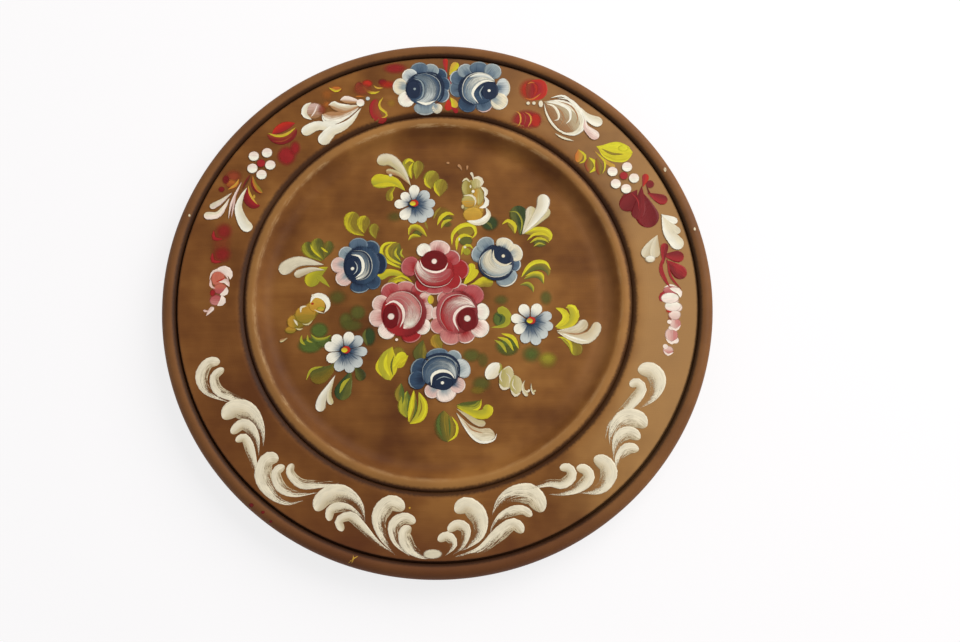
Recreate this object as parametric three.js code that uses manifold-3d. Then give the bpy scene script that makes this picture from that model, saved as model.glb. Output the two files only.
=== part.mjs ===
// A turned wooden wall plate lying face up on its foot, with a swinging wire ring to hang it by.
// The units are millimetres, +Z is up and out of the painted face, and +Y is the top of the plate as it hangs.
// The origin is the middle of the foot's resting plane.
import * as THREE from "three";
import { mergeVertices } from "three/addons/utils/BufferGeometryUtils.js";
import Module from "manifold-3d";

const wasm = await Module();
wasm.setup();

// Front of the plate, from the edge inwards
const PLATE_RADIUS = 145;
const BEAD_WIDTH = 7.8; // edge bead in plan, from its outer edge to the bottom of the outer groove
const BEAD_CREST_INSET = 4.2; // from the outer edge to the top of the bead
const BEAD_THICKNESS = 9.5;
const BEAD_RISE = 0.9; // top of the bead over the outer end of the rim field
const OUTER_GROOVE_DEPTH = 1.9; // below the outer end of the rim field
const OUTER_GROOVE_STEEP = 1.2; // plan width of the groove's steep side
const FIELD_WIDTH = 29; // the broad flat of the rim that carries the painted border
const FIELD_RISE = 1.1; // the rim field climbs this much towards the edge
const FIELD_HOLLOW = 0.25; // how far the rim field dips below a straight line
const INNER_GROOVE_SLOPE = 4.7; // plan width of the groove's easy side
const INNER_GROOVE_DEPTH = 2.0; // below the inner end of the rim field
const LIP_WIDTH = 4; // from the bottom of the inner groove to the crest of the lip
const LIP_RISE = 0.3; // crest of the lip over the inner end of the rim field
const COVE_WIDTH = 12.5; // from the crest of the lip to the flat floor of the well
const COVE_ROLL = 4.6; // how far the round of the lip reaches into the cove
const COVE_SWEEP = 8; // how far the foot of the cove reaches up from the floor
const WELL_DEPTH = 6.3; // from the crest of the lip to the floor
const FLOOR_THICKNESS = 6;

// Back of the plate
const RECESS_RADIUS = 100;
const RECESS_DEPTH = 4.5;
const RECESS_FILLET = 1.6;
const FOOT_WIDTH = 9;
const FOOT_HEIGHT = 3; // outer wall of the foot ring
const FOOT_CHAMFER = 0.6;
const FOOT_ROUND = 1;
const BACK_FLARE = 14; // how far the underside runs level before it climbs to the bead

// Hanger: a strap folded round the straight bar of a wire ring and held by two screws
const WIRE_RADIUS = 0.8;
const RING_CORNER = 1.8; // bend between the bar and the bow, on the wire's centre line
const RING_BUTT_GAP = 0.3; // open joint of the wire, hidden inside the strap's eye
const BAR_PLAY = 0.5; // straight bar showing on each side of the strap
const EYE_CLEARANCE = 0.2; // between the wire and the eye
const STRAP_WIDTH = 9;
const STRAP_SHEET = 0.6; // the strap is this sheet folded double
const STRAP_THROAT = 2.2; // where the folded leaves close up behind the eye
const STRAP_TAIL = 3.4; // from the last screw to the end of the strap
const RING_SETBACK = 3; // from the ring's bow to the flat edge of the recess
const SEAT_GAP = 0.05; // between faces that rest on each other
const SCREW_SPACING = 5.6;
const SCREW_HEAD_RADIUS = 2.1;
const SCREW_HEAD_HEIGHT = 1.1;
const SCREW_SHANK_RADIUS = 1;
const SCREW_TIP_LENGTH = 1.6;
const SCREW_TIP_RADIUS = 0.25;
const SCREW_SLOT_WIDTH = 0.5;
const SCREW_SLOT_DEPTH = 0.5;
const SCREW_COVER = 1.4; // wood left over the tip of a screw
const SCREW_TO_RING = 0.8; // room between a screw head and the ring folded right back
const STRAP_HOLE_CLEARANCE = 0.3;
const PILOT_CLEARANCE = 0.15;

// Facets
const TURNED_SEGMENTS = 90;
const SCREW_SEGMENTS = 20;
const WIRE_SIDES = 10;
const RING_STEPS = 54;
const EYE_SEGMENTS = 12;

// Levels of the plate, from the resting plane up
const recessCeiling = RECESS_DEPTH;
const wellFloor = recessCeiling + FLOOR_THICKNESS;
const lipTop = wellFloor + WELL_DEPTH;
const fieldInnerTop = lipTop - LIP_RISE;
const fieldOuterTop = fieldInnerTop + FIELD_RISE;
const beadTop = fieldOuterTop + BEAD_RISE;
const beadMiddle = beadTop - BEAD_THICKNESS / 2;
const outerGrooveBottom = fieldOuterTop - OUTER_GROOVE_DEPTH;
const innerGrooveBottom = fieldInnerTop - INNER_GROOVE_DEPTH;

// Radii of the front, from the edge inwards
const beadCrestRadius = PLATE_RADIUS - BEAD_CREST_INSET;
const outerGrooveRadius = PLATE_RADIUS - BEAD_WIDTH;
const fieldOuterRadius = outerGrooveRadius - OUTER_GROOVE_STEEP;
const fieldInnerRadius = fieldOuterRadius - FIELD_WIDTH;
const innerGrooveRadius = fieldInnerRadius - INNER_GROOVE_SLOPE;
const lipRadius = innerGrooveRadius - LIP_WIDTH;
const wellRadius = lipRadius - COVE_WIDTH;
const footRadius = RECESS_RADIUS + FOOT_WIDTH;

// Places of the hanger. The ring lies flat in the recess and points at the top of the plate.
const eyeRadius = WIRE_RADIUS + EYE_CLEARANCE;
const eyeOuterRadius = eyeRadius + STRAP_SHEET;
const strapTop = recessCeiling - SEAT_GAP;
const eyeHeight = strapTop - eyeOuterRadius;
const barHalf = STRAP_WIDTH / 2 + BAR_PLAY;
const bowRadius = barHalf + RING_CORNER;
const ringReach = RING_CORNER + bowRadius + WIRE_RADIUS;
const eyeY = RECESS_RADIUS - RECESS_FILLET - RING_SETBACK - ringReach;
const firstScrew = ringReach + SCREW_TO_RING + SCREW_HEAD_RADIUS;
const screwDistances = { strap_screw_upper: firstScrew, strap_screw_lower: firstScrew + SCREW_SPACING };
const strapLength = firstScrew + SCREW_SPACING + STRAP_TAIL;
const leafThickness = 2 * STRAP_SHEET;
const strapUnderside = strapTop - leafThickness;
const pilotDepth = FLOOR_THICKNESS - SCREW_COVER;

const at = (x, y) => new THREE.Vector2(x, y);
const line = (from, to) => ({ curve: new THREE.LineCurve(from, to), steps: 1 });
const bend = (from, control, to, steps) => ({ curve: new THREE.QuadraticBezierCurve(from, control, to), steps });
const sweep = (from, a, b, to, steps) => ({ curve: new THREE.CubicBezierCurve(from, a, b, to), steps });

// An arc of an ellipse, with its angles in quarter turns from +X
function arc(centre, radiusX, radiusY, fromQuarter, toQuarter, steps) {
  const quarter = Math.PI / 2;
  const curve = new THREE.EllipseCurve(
    centre.x, centre.y, radiusX, radiusY, fromQuarter * quarter, toQuarter * quarter, toQuarter < fromQuarter,
  );
  return { curve, steps };
}

// Points along a chain of curves, each curve with its own number of steps
function trace(pieces) {
  return pieces.flatMap(({ curve, steps }, i) => curve.getPoints(steps).slice(i ? 1 : 0));
}

// Turned solid about Z from a half section of radius and height
function turned(points, segments) {
  return new THREE.LatheGeometry(points, segments).rotateX(Math.PI / 2);
}

function solid(geometry) {
  const bare = geometry.index ? geometry.toNonIndexed() : geometry.clone();
  bare.deleteAttribute("normal");
  bare.deleteAttribute("uv");
  const merged = mergeVertices(bare, 1e-4);
  return new wasm.Manifold(new wasm.Mesh({
    numProp: 3,
    vertProperties: merged.attributes.position.array,
    triVerts: new Uint32Array(merged.index.array),
  }));
}

function geometryOf(body) {
  const { vertProperties, triVerts } = body.getMesh();
  const geometry = new THREE.BufferGeometry();
  geometry.setAttribute("position", new THREE.BufferAttribute(vertProperties, 3));
  geometry.setIndex(new THREE.BufferAttribute(triVerts, 1));
  geometry.computeVertexNormals();
  return geometry;
}

const wood = new THREE.MeshStandardMaterial({ color: 0x7d5430, roughness: 0.5, metalness: 0 });
const brassedSteel = new THREE.MeshStandardMaterial({ color: 0xb08d4c, roughness: 0.4, metalness: 1 });
const steelWire = new THREE.MeshStandardMaterial({ color: 0xa8a398, roughness: 0.35, metalness: 1 });

// Half section of the underside: recess, foot ring and the flare up to the bead
function backSection() {
  const ceilingEdge = at(RECESS_RADIUS - RECESS_FILLET, recessCeiling);
  const wallTop = at(RECESS_RADIUS, recessCeiling - RECESS_FILLET);
  const wallBottom = at(RECESS_RADIUS, FOOT_CHAMFER);
  const footInside = at(RECESS_RADIUS + FOOT_CHAMFER, 0);
  const footOutside = at(footRadius - FOOT_ROUND, 0);
  const footSide = at(footRadius, FOOT_ROUND);
  const footTop = at(footRadius, FOOT_HEIGHT);
  const beadUnderside = at(beadCrestRadius, beadMiddle - BEAD_THICKNESS / 2);
  return [
    line(at(0, recessCeiling), ceilingEdge),
    bend(ceilingEdge, at(RECESS_RADIUS, recessCeiling), wallTop, 3),
    line(wallTop, wallBottom),
    line(wallBottom, footInside),
    line(footInside, footOutside),
    bend(footOutside, at(footRadius, 0), footSide, 2),
    line(footSide, footTop),
    bend(footTop, at(footRadius + BACK_FLARE, FOOT_HEIGHT), beadUnderside, 5),
  ];
}

// Half section of the front: edge bead, outer groove, rim field, inner groove, lip, cove and floor
function frontSection() {
  const outerGroove = at(outerGrooveRadius, outerGrooveBottom);
  const fieldOuter = at(fieldOuterRadius, fieldOuterTop);
  const fieldInner = at(fieldInnerRadius, fieldInnerTop);
  const fieldMiddle = at(
    (fieldOuterRadius + fieldInnerRadius) / 2,
    (fieldOuterTop + fieldInnerTop) / 2 - FIELD_HOLLOW,
  );
  const innerGroove = at(innerGrooveRadius, innerGrooveBottom);
  const lipCrest = at(lipRadius, lipTop);
  const floorEdge = at(wellRadius, wellFloor);
  return [
    arc(at(beadCrestRadius, beadMiddle), BEAD_CREST_INSET, BEAD_THICKNESS / 2, -1, 1, 10),
    arc(at(beadCrestRadius, outerGrooveBottom), BEAD_WIDTH - BEAD_CREST_INSET, beadTop - outerGrooveBottom, 1, 2, 5),
    bend(outerGroove, at(fieldOuterRadius, fieldOuterTop - OUTER_GROOVE_STEEP / 2), fieldOuter, 2),
    bend(fieldOuter, fieldMiddle, fieldInner, 3),
    bend(fieldInner, at(innerGrooveRadius + INNER_GROOVE_SLOPE / 3, fieldInnerTop), innerGroove, 4),
    arc(at(lipRadius, innerGrooveBottom), LIP_WIDTH, lipTop - innerGrooveBottom, 0, 1, 5),
    sweep(lipCrest, at(lipRadius - COVE_ROLL, lipTop), at(wellRadius + COVE_SWEEP, wellFloor), floorEdge, 8),
    line(floorEdge, at(0, wellFloor)),
  ];
}

// Blind hole for one screw, a touch wider and deeper than the screw
function pilotHole(distance) {
  const radius = SCREW_SHANK_RADIUS + PILOT_CLEARANCE;
  const bottom = recessCeiling - SCREW_HEAD_HEIGHT;
  const top = recessCeiling + pilotDepth;
  const bore = new THREE.CylinderGeometry(radius, radius, top - bottom, SCREW_SEGMENTS);
  return solid(bore.rotateX(Math.PI / 2).translate(0, eyeY - distance, (top + bottom) / 2));
}

function turnedPlate() {
  let body = solid(turned(trace([...backSection(), ...frontSection()]), TURNED_SEGMENTS));
  for (const distance of Object.values(screwDistances)) {
    body = body.subtract(pilotHole(distance));
  }
  return new THREE.Mesh(geometryOf(body), wood);
}

// The strap from the side, drawn with the eye at the origin and the leaves running along -X
function strapSide() {
  const top = eyeOuterRadius;
  const bottom = eyeOuterRadius - leafThickness;
  const shape = new THREE.Shape();
  shape.moveTo(-strapLength, top);
  shape.lineTo(-strapLength, bottom);
  shape.lineTo(-eyeOuterRadius - STRAP_THROAT, bottom);
  shape.quadraticCurveTo(-eyeOuterRadius, bottom, -eyeOuterRadius * Math.SQRT1_2, -eyeOuterRadius * Math.SQRT1_2);
  shape.absarc(0, 0, eyeOuterRadius, -0.75 * Math.PI, 0.5 * Math.PI, false);
  shape.closePath();
  shape.holes.push(new THREE.Path().absarc(0, 0, eyeRadius, 0, 2 * Math.PI, false));
  return new THREE.ExtrudeGeometry(shape, {
    depth: STRAP_WIDTH, bevelEnabled: false, curveSegments: EYE_SEGMENTS,
  });
}

// The strap from above: a rounded tail and two screw holes
function strapOutline() {
  const half = STRAP_WIDTH / 2;
  const shape = new THREE.Shape();
  shape.moveTo(eyeOuterRadius, -half);
  shape.lineTo(eyeOuterRadius, half);
  shape.lineTo(half - strapLength, half);
  shape.absarc(half - strapLength, 0, half, 0.5 * Math.PI, 1.5 * Math.PI, false);
  shape.closePath();
  for (const distance of Object.values(screwDistances)) {
    const hole = new THREE.Path();
    hole.absarc(-distance, 0, SCREW_SHANK_RADIUS + STRAP_HOLE_CLEARANCE, 0, 2 * Math.PI, false);
    shape.holes.push(hole);
  }
  return new THREE.ExtrudeGeometry(shape, {
    depth: 2 * eyeOuterRadius, bevelEnabled: false, curveSegments: EYE_SEGMENTS,
  });
}

function hangerStrap() {
  const side = strapSide().translate(0, 0, -STRAP_WIDTH / 2).rotateX(Math.PI / 2);
  const outline = strapOutline().translate(0, 0, -eyeOuterRadius);
  const mesh = new THREE.Mesh(geometryOf(solid(side).intersect(solid(outline))), brassedSteel);
  mesh.rotation.z = Math.PI / 2;
  mesh.position.set(0, eyeY, eyeHeight);
  return mesh;
}

// The wire's centre line: from the butt joint along the bar, round the bow and back to the joint
class WireLine extends THREE.Curve {
  constructor() {
    super();
    const quarter = Math.PI / 2;
    this.flat = new THREE.Path();
    this.flat.moveTo(RING_BUTT_GAP / 2, 0);
    this.flat.lineTo(barHalf, 0);
    this.flat.absarc(barHalf, RING_CORNER, RING_CORNER, -quarter, 0, false);
    this.flat.absarc(0, RING_CORNER, bowRadius, 0, 2 * quarter, false);
    this.flat.absarc(-barHalf, RING_CORNER, RING_CORNER, 2 * quarter, 3 * quarter, false);
    this.flat.lineTo(-RING_BUTT_GAP / 2, 0);
  }

  getPoint(t, target = new THREE.Vector3()) {
    const point = this.flat.getPoint(t);
    return target.set(point.x, point.y, 0);
  }
}

function hangerRing() {
  const section = new THREE.Shape().absarc(0, 0, WIRE_RADIUS, 0, 2 * Math.PI, false);
  const wire = new THREE.ExtrudeGeometry(section, {
    steps: RING_STEPS, extrudePath: new WireLine(), curveSegments: WIRE_SIDES / 2,
  });
  const mesh = new THREE.Mesh(wire, steelWire);
  mesh.position.set(0, eyeY, eyeHeight);
  return mesh;
}

// A domed screw with its head down and its tip up in the wood
function strapScrew(distance) {
  const headTop = strapUnderside - SEAT_GAP;
  const headEdge = SCREW_HEAD_HEIGHT / 3;
  const tip = recessCeiling + pilotDepth - PILOT_CLEARANCE;
  const section = trace([
    bend(at(0, headTop - SCREW_HEAD_HEIGHT), at(SCREW_HEAD_RADIUS, headTop - SCREW_HEAD_HEIGHT),
      at(SCREW_HEAD_RADIUS, headTop - headEdge), 5),
    line(at(SCREW_HEAD_RADIUS, headTop - headEdge), at(SCREW_HEAD_RADIUS, headTop)),
    line(at(SCREW_HEAD_RADIUS, headTop), at(SCREW_SHANK_RADIUS, headTop)),
    line(at(SCREW_SHANK_RADIUS, headTop), at(SCREW_SHANK_RADIUS, tip - SCREW_TIP_LENGTH)),
    line(at(SCREW_SHANK_RADIUS, tip - SCREW_TIP_LENGTH), at(SCREW_TIP_RADIUS, tip)),
    line(at(SCREW_TIP_RADIUS, tip), at(0, tip)),
  ]);
  const slotBottom = headTop - SCREW_HEAD_HEIGHT + SCREW_SLOT_DEPTH;
  const slot = new THREE.BoxGeometry(3 * SCREW_HEAD_RADIUS, SCREW_SLOT_WIDTH, SCREW_HEAD_HEIGHT);
  slot.translate(0, 0, slotBottom - SCREW_HEAD_HEIGHT / 2);
  const body = solid(turned(section, SCREW_SEGMENTS)).subtract(solid(slot));
  const mesh = new THREE.Mesh(geometryOf(body), brassedSteel);
  mesh.position.set(0, eyeY - distance, 0);
  return mesh;
}

const wallPlate = new THREE.Group();

function add(name, mesh) {
  mesh.name = name;
  wallPlate.add(mesh);
}

add("turned_plate", turnedPlate());
add("hanger_strap", hangerStrap());
add("hanger_ring", hangerRing());
for (const [name, distance] of Object.entries(screwDistances)) {
  add(name, strapScrew(distance));
}

export default wallPlate;
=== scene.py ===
# The looks of a turned wooden wall plate with a painted rim and a painted well.
# Sizes of the plate and of its painting are in millimetres, and MM turns them into metres.
# X points right and Y to the top of the plate as it hangs. Z points out of the painted face.
import math

import bmesh
import bpy
import numpy as np
from mathutils import Matrix, Vector


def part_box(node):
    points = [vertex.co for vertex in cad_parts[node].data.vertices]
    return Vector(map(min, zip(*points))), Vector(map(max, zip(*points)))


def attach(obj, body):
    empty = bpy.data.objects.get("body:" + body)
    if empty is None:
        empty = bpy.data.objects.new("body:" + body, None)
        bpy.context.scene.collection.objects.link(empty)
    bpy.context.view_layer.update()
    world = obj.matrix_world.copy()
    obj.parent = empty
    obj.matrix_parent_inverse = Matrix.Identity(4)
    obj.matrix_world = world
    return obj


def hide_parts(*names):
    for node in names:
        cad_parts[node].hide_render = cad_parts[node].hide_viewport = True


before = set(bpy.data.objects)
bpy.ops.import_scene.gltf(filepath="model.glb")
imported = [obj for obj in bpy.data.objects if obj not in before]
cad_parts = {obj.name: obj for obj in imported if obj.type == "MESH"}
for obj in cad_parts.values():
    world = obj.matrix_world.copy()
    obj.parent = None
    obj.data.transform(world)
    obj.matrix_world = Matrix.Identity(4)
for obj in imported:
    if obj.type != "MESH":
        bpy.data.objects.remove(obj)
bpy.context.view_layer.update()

MM = 0.001
IMAGE_WIDTH = 960

# Front of the plate, from the edge inwards
PLATE_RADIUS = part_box("turned_plate")[1].y / MM
BEAD_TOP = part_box("turned_plate")[1].z / MM
BEAD_WIDTH = 7.8
BEAD_CREST_INSET = 4.2
BEAD_THICKNESS = 9.5
BEAD_RISE = 0.9
OUTER_GROOVE_DEPTH = 1.9
OUTER_GROOVE_STEEP = 1.2
FIELD_WIDTH = 29
FIELD_RISE = 1.1
FIELD_HOLLOW = 0.25
INNER_GROOVE_SLOPE = 4.7
INNER_GROOVE_DEPTH = 2.0
LIP_WIDTH = 4
LIP_RISE = 0.3
COVE_WIDTH = 12.5
COVE_ROLL = 4.6
COVE_SWEEP = 8
WELL_DEPTH = 6.3

# Back of the plate
RECESS_RADIUS = 100
RECESS_DEPTH = 4.5
RECESS_FILLET = 1.6
FOOT_WIDTH = 9
FOOT_HEIGHT = 3
FOOT_EDGE = 0.6
FOOT_ROUND = 1
BACK_FLARE = 14
TURNED_SEGMENTS = 360

bead_crest_radius = PLATE_RADIUS - BEAD_CREST_INSET
bead_middle = BEAD_TOP - BEAD_THICKNESS / 2
outer_groove_radius = PLATE_RADIUS - BEAD_WIDTH
field_outer_radius = outer_groove_radius - OUTER_GROOVE_STEEP
field_inner_radius = field_outer_radius - FIELD_WIDTH
inner_groove_radius = field_inner_radius - INNER_GROOVE_SLOPE
lip_radius = inner_groove_radius - LIP_WIDTH
well_radius = lip_radius - COVE_WIDTH
foot_radius = RECESS_RADIUS + FOOT_WIDTH
field_outer_top = BEAD_TOP - BEAD_RISE
field_inner_top = field_outer_top - FIELD_RISE
outer_groove_bottom = field_outer_top - OUTER_GROOVE_DEPTH
inner_groove_bottom = field_inner_top - INNER_GROOVE_DEPTH
lip_top = field_inner_top + LIP_RISE
well_floor = lip_top - WELL_DEPTH


# Camera, floor and lamps

FOCAL_PIXELS = 954  # focal length in pixels of a picture IMAGE_WIDTH wide
SENSOR_WIDTH = 36
CAMERA_DISTANCE = 3.483 * PLATE_RADIUS
CAMERA_TILT = 14.90  # degrees from straight above towards the bottom of the plate
CAMERA_YAW = 1.44
PLATE_RIGHT_OF_CENTRE = -41.2  # pixels
PLATE_BELOW_CENTRE = -25.0


def add_camera():
    tilt = math.radians(CAMERA_TILT)
    yaw = math.radians(CAMERA_YAW)
    back = Vector((math.sin(yaw), -math.sin(tilt) * math.cos(yaw), math.cos(tilt) * math.cos(yaw)))
    forward = -back
    right = forward.cross(Vector((0, 1, 0))).normalized()
    up = right.cross(forward)
    sight = Vector((PLATE_RIGHT_OF_CENTRE / FOCAL_PIXELS, -PLATE_BELOW_CENTRE / FOCAL_PIXELS, 1)).normalized()
    turn = Vector((0, 0, 1)).rotation_difference(sight).to_matrix()
    right, up, forward = turn @ Matrix((right, up, forward))
    camera = bpy.data.objects.new("camera", bpy.data.cameras.new("camera"))
    camera.data.sensor_width = SENSOR_WIDTH
    camera.data.lens = FOCAL_PIXELS / IMAGE_WIDTH * SENSOR_WIDTH
    place = Matrix((right, up, -forward)).transposed().to_4x4()
    place.translation = Vector((0, 0, bead_middle)) * MM + back * CAMERA_DISTANCE * MM
    camera.matrix_world = place
    bpy.context.scene.collection.objects.link(camera)
    bpy.context.scene.camera = camera


def add_lamp(name, place, size, power, tint):
    """A square soft lamp that points at the plate's middle. Its place and size are in metres."""
    lamp = bpy.data.lights.new(name, "AREA")
    lamp.size = size
    lamp.energy = power
    lamp.color = tint
    obj = bpy.data.objects.new(name, lamp)
    obj.location = place
    obj.rotation_euler = Vector(place).to_track_quat("Z", "Y").to_euler()
    bpy.context.scene.collection.objects.link(obj)


# Node trees. One method adds a node, and Python's operators on values add Math nodes.

class Value:
    """An output socket. An expression on values adds its Math nodes."""

    def __init__(self, graph, socket):
        self.graph = graph
        self.socket = socket

    def __add__(self, other):
        return self.graph.math("ADD", self, other)

    def __sub__(self, other):
        return self.graph.math("SUBTRACT", self, other)

    def __rsub__(self, other):
        return self.graph.math("SUBTRACT", other, self)

    def __mul__(self, other):
        return self.graph.math("MULTIPLY", self, other)

    def __truediv__(self, other):
        return self.graph.math("DIVIDE", self, other)

    def __pow__(self, other):
        return self.graph.math("POWER", self, other)

    def __gt__(self, other):
        return self.graph.math("GREATER_THAN", self, other)

    def __abs__(self):
        return self.graph.math("ABSOLUTE", self)

    def __neg__(self):
        return self.graph.math("MULTIPLY", self, -1.0)

    __radd__ = __add__


class Graph:
    """A node tree of a material, of the world or of Geometry Nodes."""

    def __init__(self, tree):
        self.tree = tree

    def node(self, kind, settings=None, inputs=None, output=0):
        """Adds one node: its settings first, then the values or links of its sockets."""
        node = self.tree.nodes.new(kind)
        for name, value in (settings or {}).items():
            if name == "stops":
                set_stops(node.color_ramp, value)
            else:
                setattr(node, name, value)
        for name, value in (inputs or {}).items():
            if isinstance(value, Value):
                self.tree.links.new(value.socket, node.inputs[name])
            else:
                node.inputs[name].default_value = value
        return Value(self, node.outputs[output]) if len(node.outputs) else None

    def math(self, operation, *values):
        return self.node("ShaderNodeMath", {"operation": operation}, dict(enumerate(values)))

    def smooth(self, value, start, end, low=0.0, high=1.0):
        """Goes smoothly from low to high as value goes from start to end."""
        return self.node("ShaderNodeMapRange", {"interpolation_type": "SMOOTHSTEP"}, {
            "Value": value, "From Min": start, "From Max": end, "To Min": low, "To Max": high,
        })

    def point(self, x, y, z):
        return self.node("ShaderNodeCombineXYZ", {}, {0: x, 1: y, 2: z})

    def parts(self, vector):
        separate = self.node("ShaderNodeSeparateXYZ", {}, {0: vector})
        return [Value(self, socket) for socket in separate.socket.node.outputs]

    def mix(self, factor, first, second):
        """A colour between two colours."""
        return self.node("ShaderNodeMix", {"data_type": "RGBA", "clamp_factor": True}, {
            0: factor, 6: first, 7: second,
        }, output=2)

    def noise(self, vector, scale=1.0, detail=2.0, roughness=0.5):
        return self.node("ShaderNodeTexNoise", {}, {
            "Vector": vector, "Scale": scale, "Detail": detail, "Roughness": roughness,
        })

    def ramp(self, factor, stops):
        return self.node("ShaderNodeValToRGB", {"stops": stops}, {0: factor})


def set_stops(ramp, stops):
    """Gives a colour ramp its (place, colour) stops."""
    while len(ramp.elements) < len(stops):
        ramp.elements.new(0.5)
    for element, (place, colour) in zip(ramp.elements, stops):
        element.position = place
        element.color = colour


def srgb(red, green, blue, opacity=1.0):
    """A colour as it is seen, each channel from 0 to 255, in the linear form that Blender takes."""
    channels = []
    for channel in (red, green, blue):
        share = channel / 255
        channels.append(share / 12.92 if share <= 0.04045 else ((share + 0.055) / 1.055) ** 2.4)
    return (*channels, opacity)


def new_material(name):
    material = bpy.data.materials.new(name)
    material.use_nodes = True
    material.node_tree.nodes.clear()
    return material, Graph(material.node_tree)


def finish_surface(graph, inputs):
    """Ends a material with one Principled shader."""
    shader = graph.node("ShaderNodeBsdfPrincipled", {}, inputs)
    graph.node("ShaderNodeOutputMaterial", {}, {"Surface": shader})


def bump(graph, height, distance):
    """A normal from a height that counts in distances, and distance is in metres."""
    return graph.node("ShaderNodeBump", {}, {"Height": height, "Distance": distance})


# Stage

FLOOR_SIZE = 6.0  # metres
FLOOR_GAP = 0.00005
FLOOR_GLOW = 0.78  # share of plain white in what is seen of the floor


def floor_material():
    """A white sheet that looks evenly bright and is clear from below, so that the underside can be seen."""
    material, graph = new_material("white_sheet")
    sheet = graph.node("ShaderNodeBsdfDiffuse", {}, {"Color": (0.97, 0.90, 0.92, 1)})
    bright = graph.node("ShaderNodeEmission", {}, {"Color": (1, 1, 1, 1), "Strength": 1.0})
    rays = [graph.node("ShaderNodeLightPath", output=title) for title in
            ("Is Camera Ray", "Is Glossy Ray", "Is Transmission Ray")]
    seen = (rays[0] + rays[1] + rays[2]) * FLOOR_GLOW
    lit = graph.node("ShaderNodeMixShader", {}, {0: seen, 1: sheet, 2: bright})
    clear = graph.node("ShaderNodeBsdfTransparent")
    behind = graph.node("ShaderNodeNewGeometry", output="Backfacing")
    shader = graph.node("ShaderNodeMixShader", {}, {0: behind, 1: lit, 2: clear})
    graph.node("ShaderNodeOutputMaterial", {}, {"Surface": shader})
    return material


def add_stage():
    bpy.ops.mesh.primitive_plane_add(size=FLOOR_SIZE, location=(0, 0, -FLOOR_GAP))
    floor = bpy.context.object
    floor.name = "floor"
    floor.data.materials.append(floor_material())
    add_lamp("window_light", place=(0.80, 0.62, 0.90), size=1.1, power=19.0, tint=(1.0, 0.985, 0.96))
    world = bpy.data.worlds.new("room_light")
    world.use_nodes = True
    world.node_tree.nodes.clear()
    graph = Graph(world.node_tree)
    height = graph.parts(graph.node("ShaderNodeTexCoord", output="Generated"))[2]
    dim = graph.smooth(height, 0.55, 0.95, low=0.62, high=0.2)
    sky = graph.node("ShaderNodeBackground", {}, {"Color": (0.94, 0.96, 1.0, 1), "Strength": dim})
    graph.node("ShaderNodeOutputWorld", {}, {"Surface": sky})
    bpy.context.scene.world = world
    bpy.context.scene.view_settings.view_transform = "Standard"


# Curves of the turned section, as (radius, height) points in millimetres

def straight(start, end):
    return [start, end]


def blended(weights, points):
    """The point that lies between some points at these weights."""
    return tuple(sum(w * p[k] for w, p in zip(weights, points)) for k in (0, 1))


def bend(start, control, end, steps):
    """A parabola from start to end that leaves and arrives towards one control point."""
    points = []
    for t in np.linspace(0, 1, steps + 1):
        weights = ((1 - t) ** 2, 2 * t * (1 - t), t ** 2)
        points.append(blended(weights, (start, control, end)))
    return points


def sweep(start, first, second, end, steps):
    """An S between two levels with a control point at each end."""
    points = []
    for t in np.linspace(0, 1, steps + 1):
        weights = ((1 - t) ** 3, 3 * t * (1 - t) ** 2, 3 * t ** 2 * (1 - t), t ** 3)
        points.append(blended(weights, (start, first, second, end)))
    return points


def arc(centre, radius_x, radius_y, first_quarter, last_quarter, steps):
    """Part of an ellipse, with its angles in quarter turns from +X."""
    return [
        (centre[0] + radius_x * math.cos(a * math.pi / 2), centre[1] + radius_y * math.sin(a * math.pi / 2))
        for a in np.linspace(first_quarter, last_quarter, steps + 1)
    ]


def chained(*curves):
    points = list(curves[0])
    for curve in curves[1:]:
        points.extend(curve[1:])
    return points


def back_section():
    """Recess, foot ring and the flare up to the bead."""
    ceiling_edge = (RECESS_RADIUS - RECESS_FILLET, RECESS_DEPTH)
    wall_top = (RECESS_RADIUS, RECESS_DEPTH - RECESS_FILLET)
    foot_inside = (RECESS_RADIUS + FOOT_EDGE, 0)
    foot_outside = (foot_radius - FOOT_ROUND, 0)
    foot_side = (foot_radius, FOOT_ROUND)
    foot_shoulder = (foot_radius, FOOT_HEIGHT - FOOT_EDGE / 2)
    foot_top = (foot_radius, FOOT_HEIGHT)
    flare_start = (foot_radius + FOOT_EDGE / 2, FOOT_HEIGHT)
    flare_bend = (foot_radius + BACK_FLARE, FOOT_HEIGHT)
    bead_under = (bead_crest_radius, bead_middle - BEAD_THICKNESS / 2)
    return chained(
        straight((0, RECESS_DEPTH), ceiling_edge),
        bend(ceiling_edge, (RECESS_RADIUS, RECESS_DEPTH), wall_top, steps=8),
        straight(wall_top, (RECESS_RADIUS, FOOT_EDGE)),
        bend((RECESS_RADIUS, FOOT_EDGE), (RECESS_RADIUS, 0), foot_inside, steps=4),
        straight(foot_inside, foot_outside),
        bend(foot_outside, (foot_radius, 0), foot_side, steps=6),
        straight(foot_side, foot_shoulder),
        bend(foot_shoulder, foot_top, flare_start, steps=3),
        bend(flare_start, flare_bend, bead_under, steps=20),
    )


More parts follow.
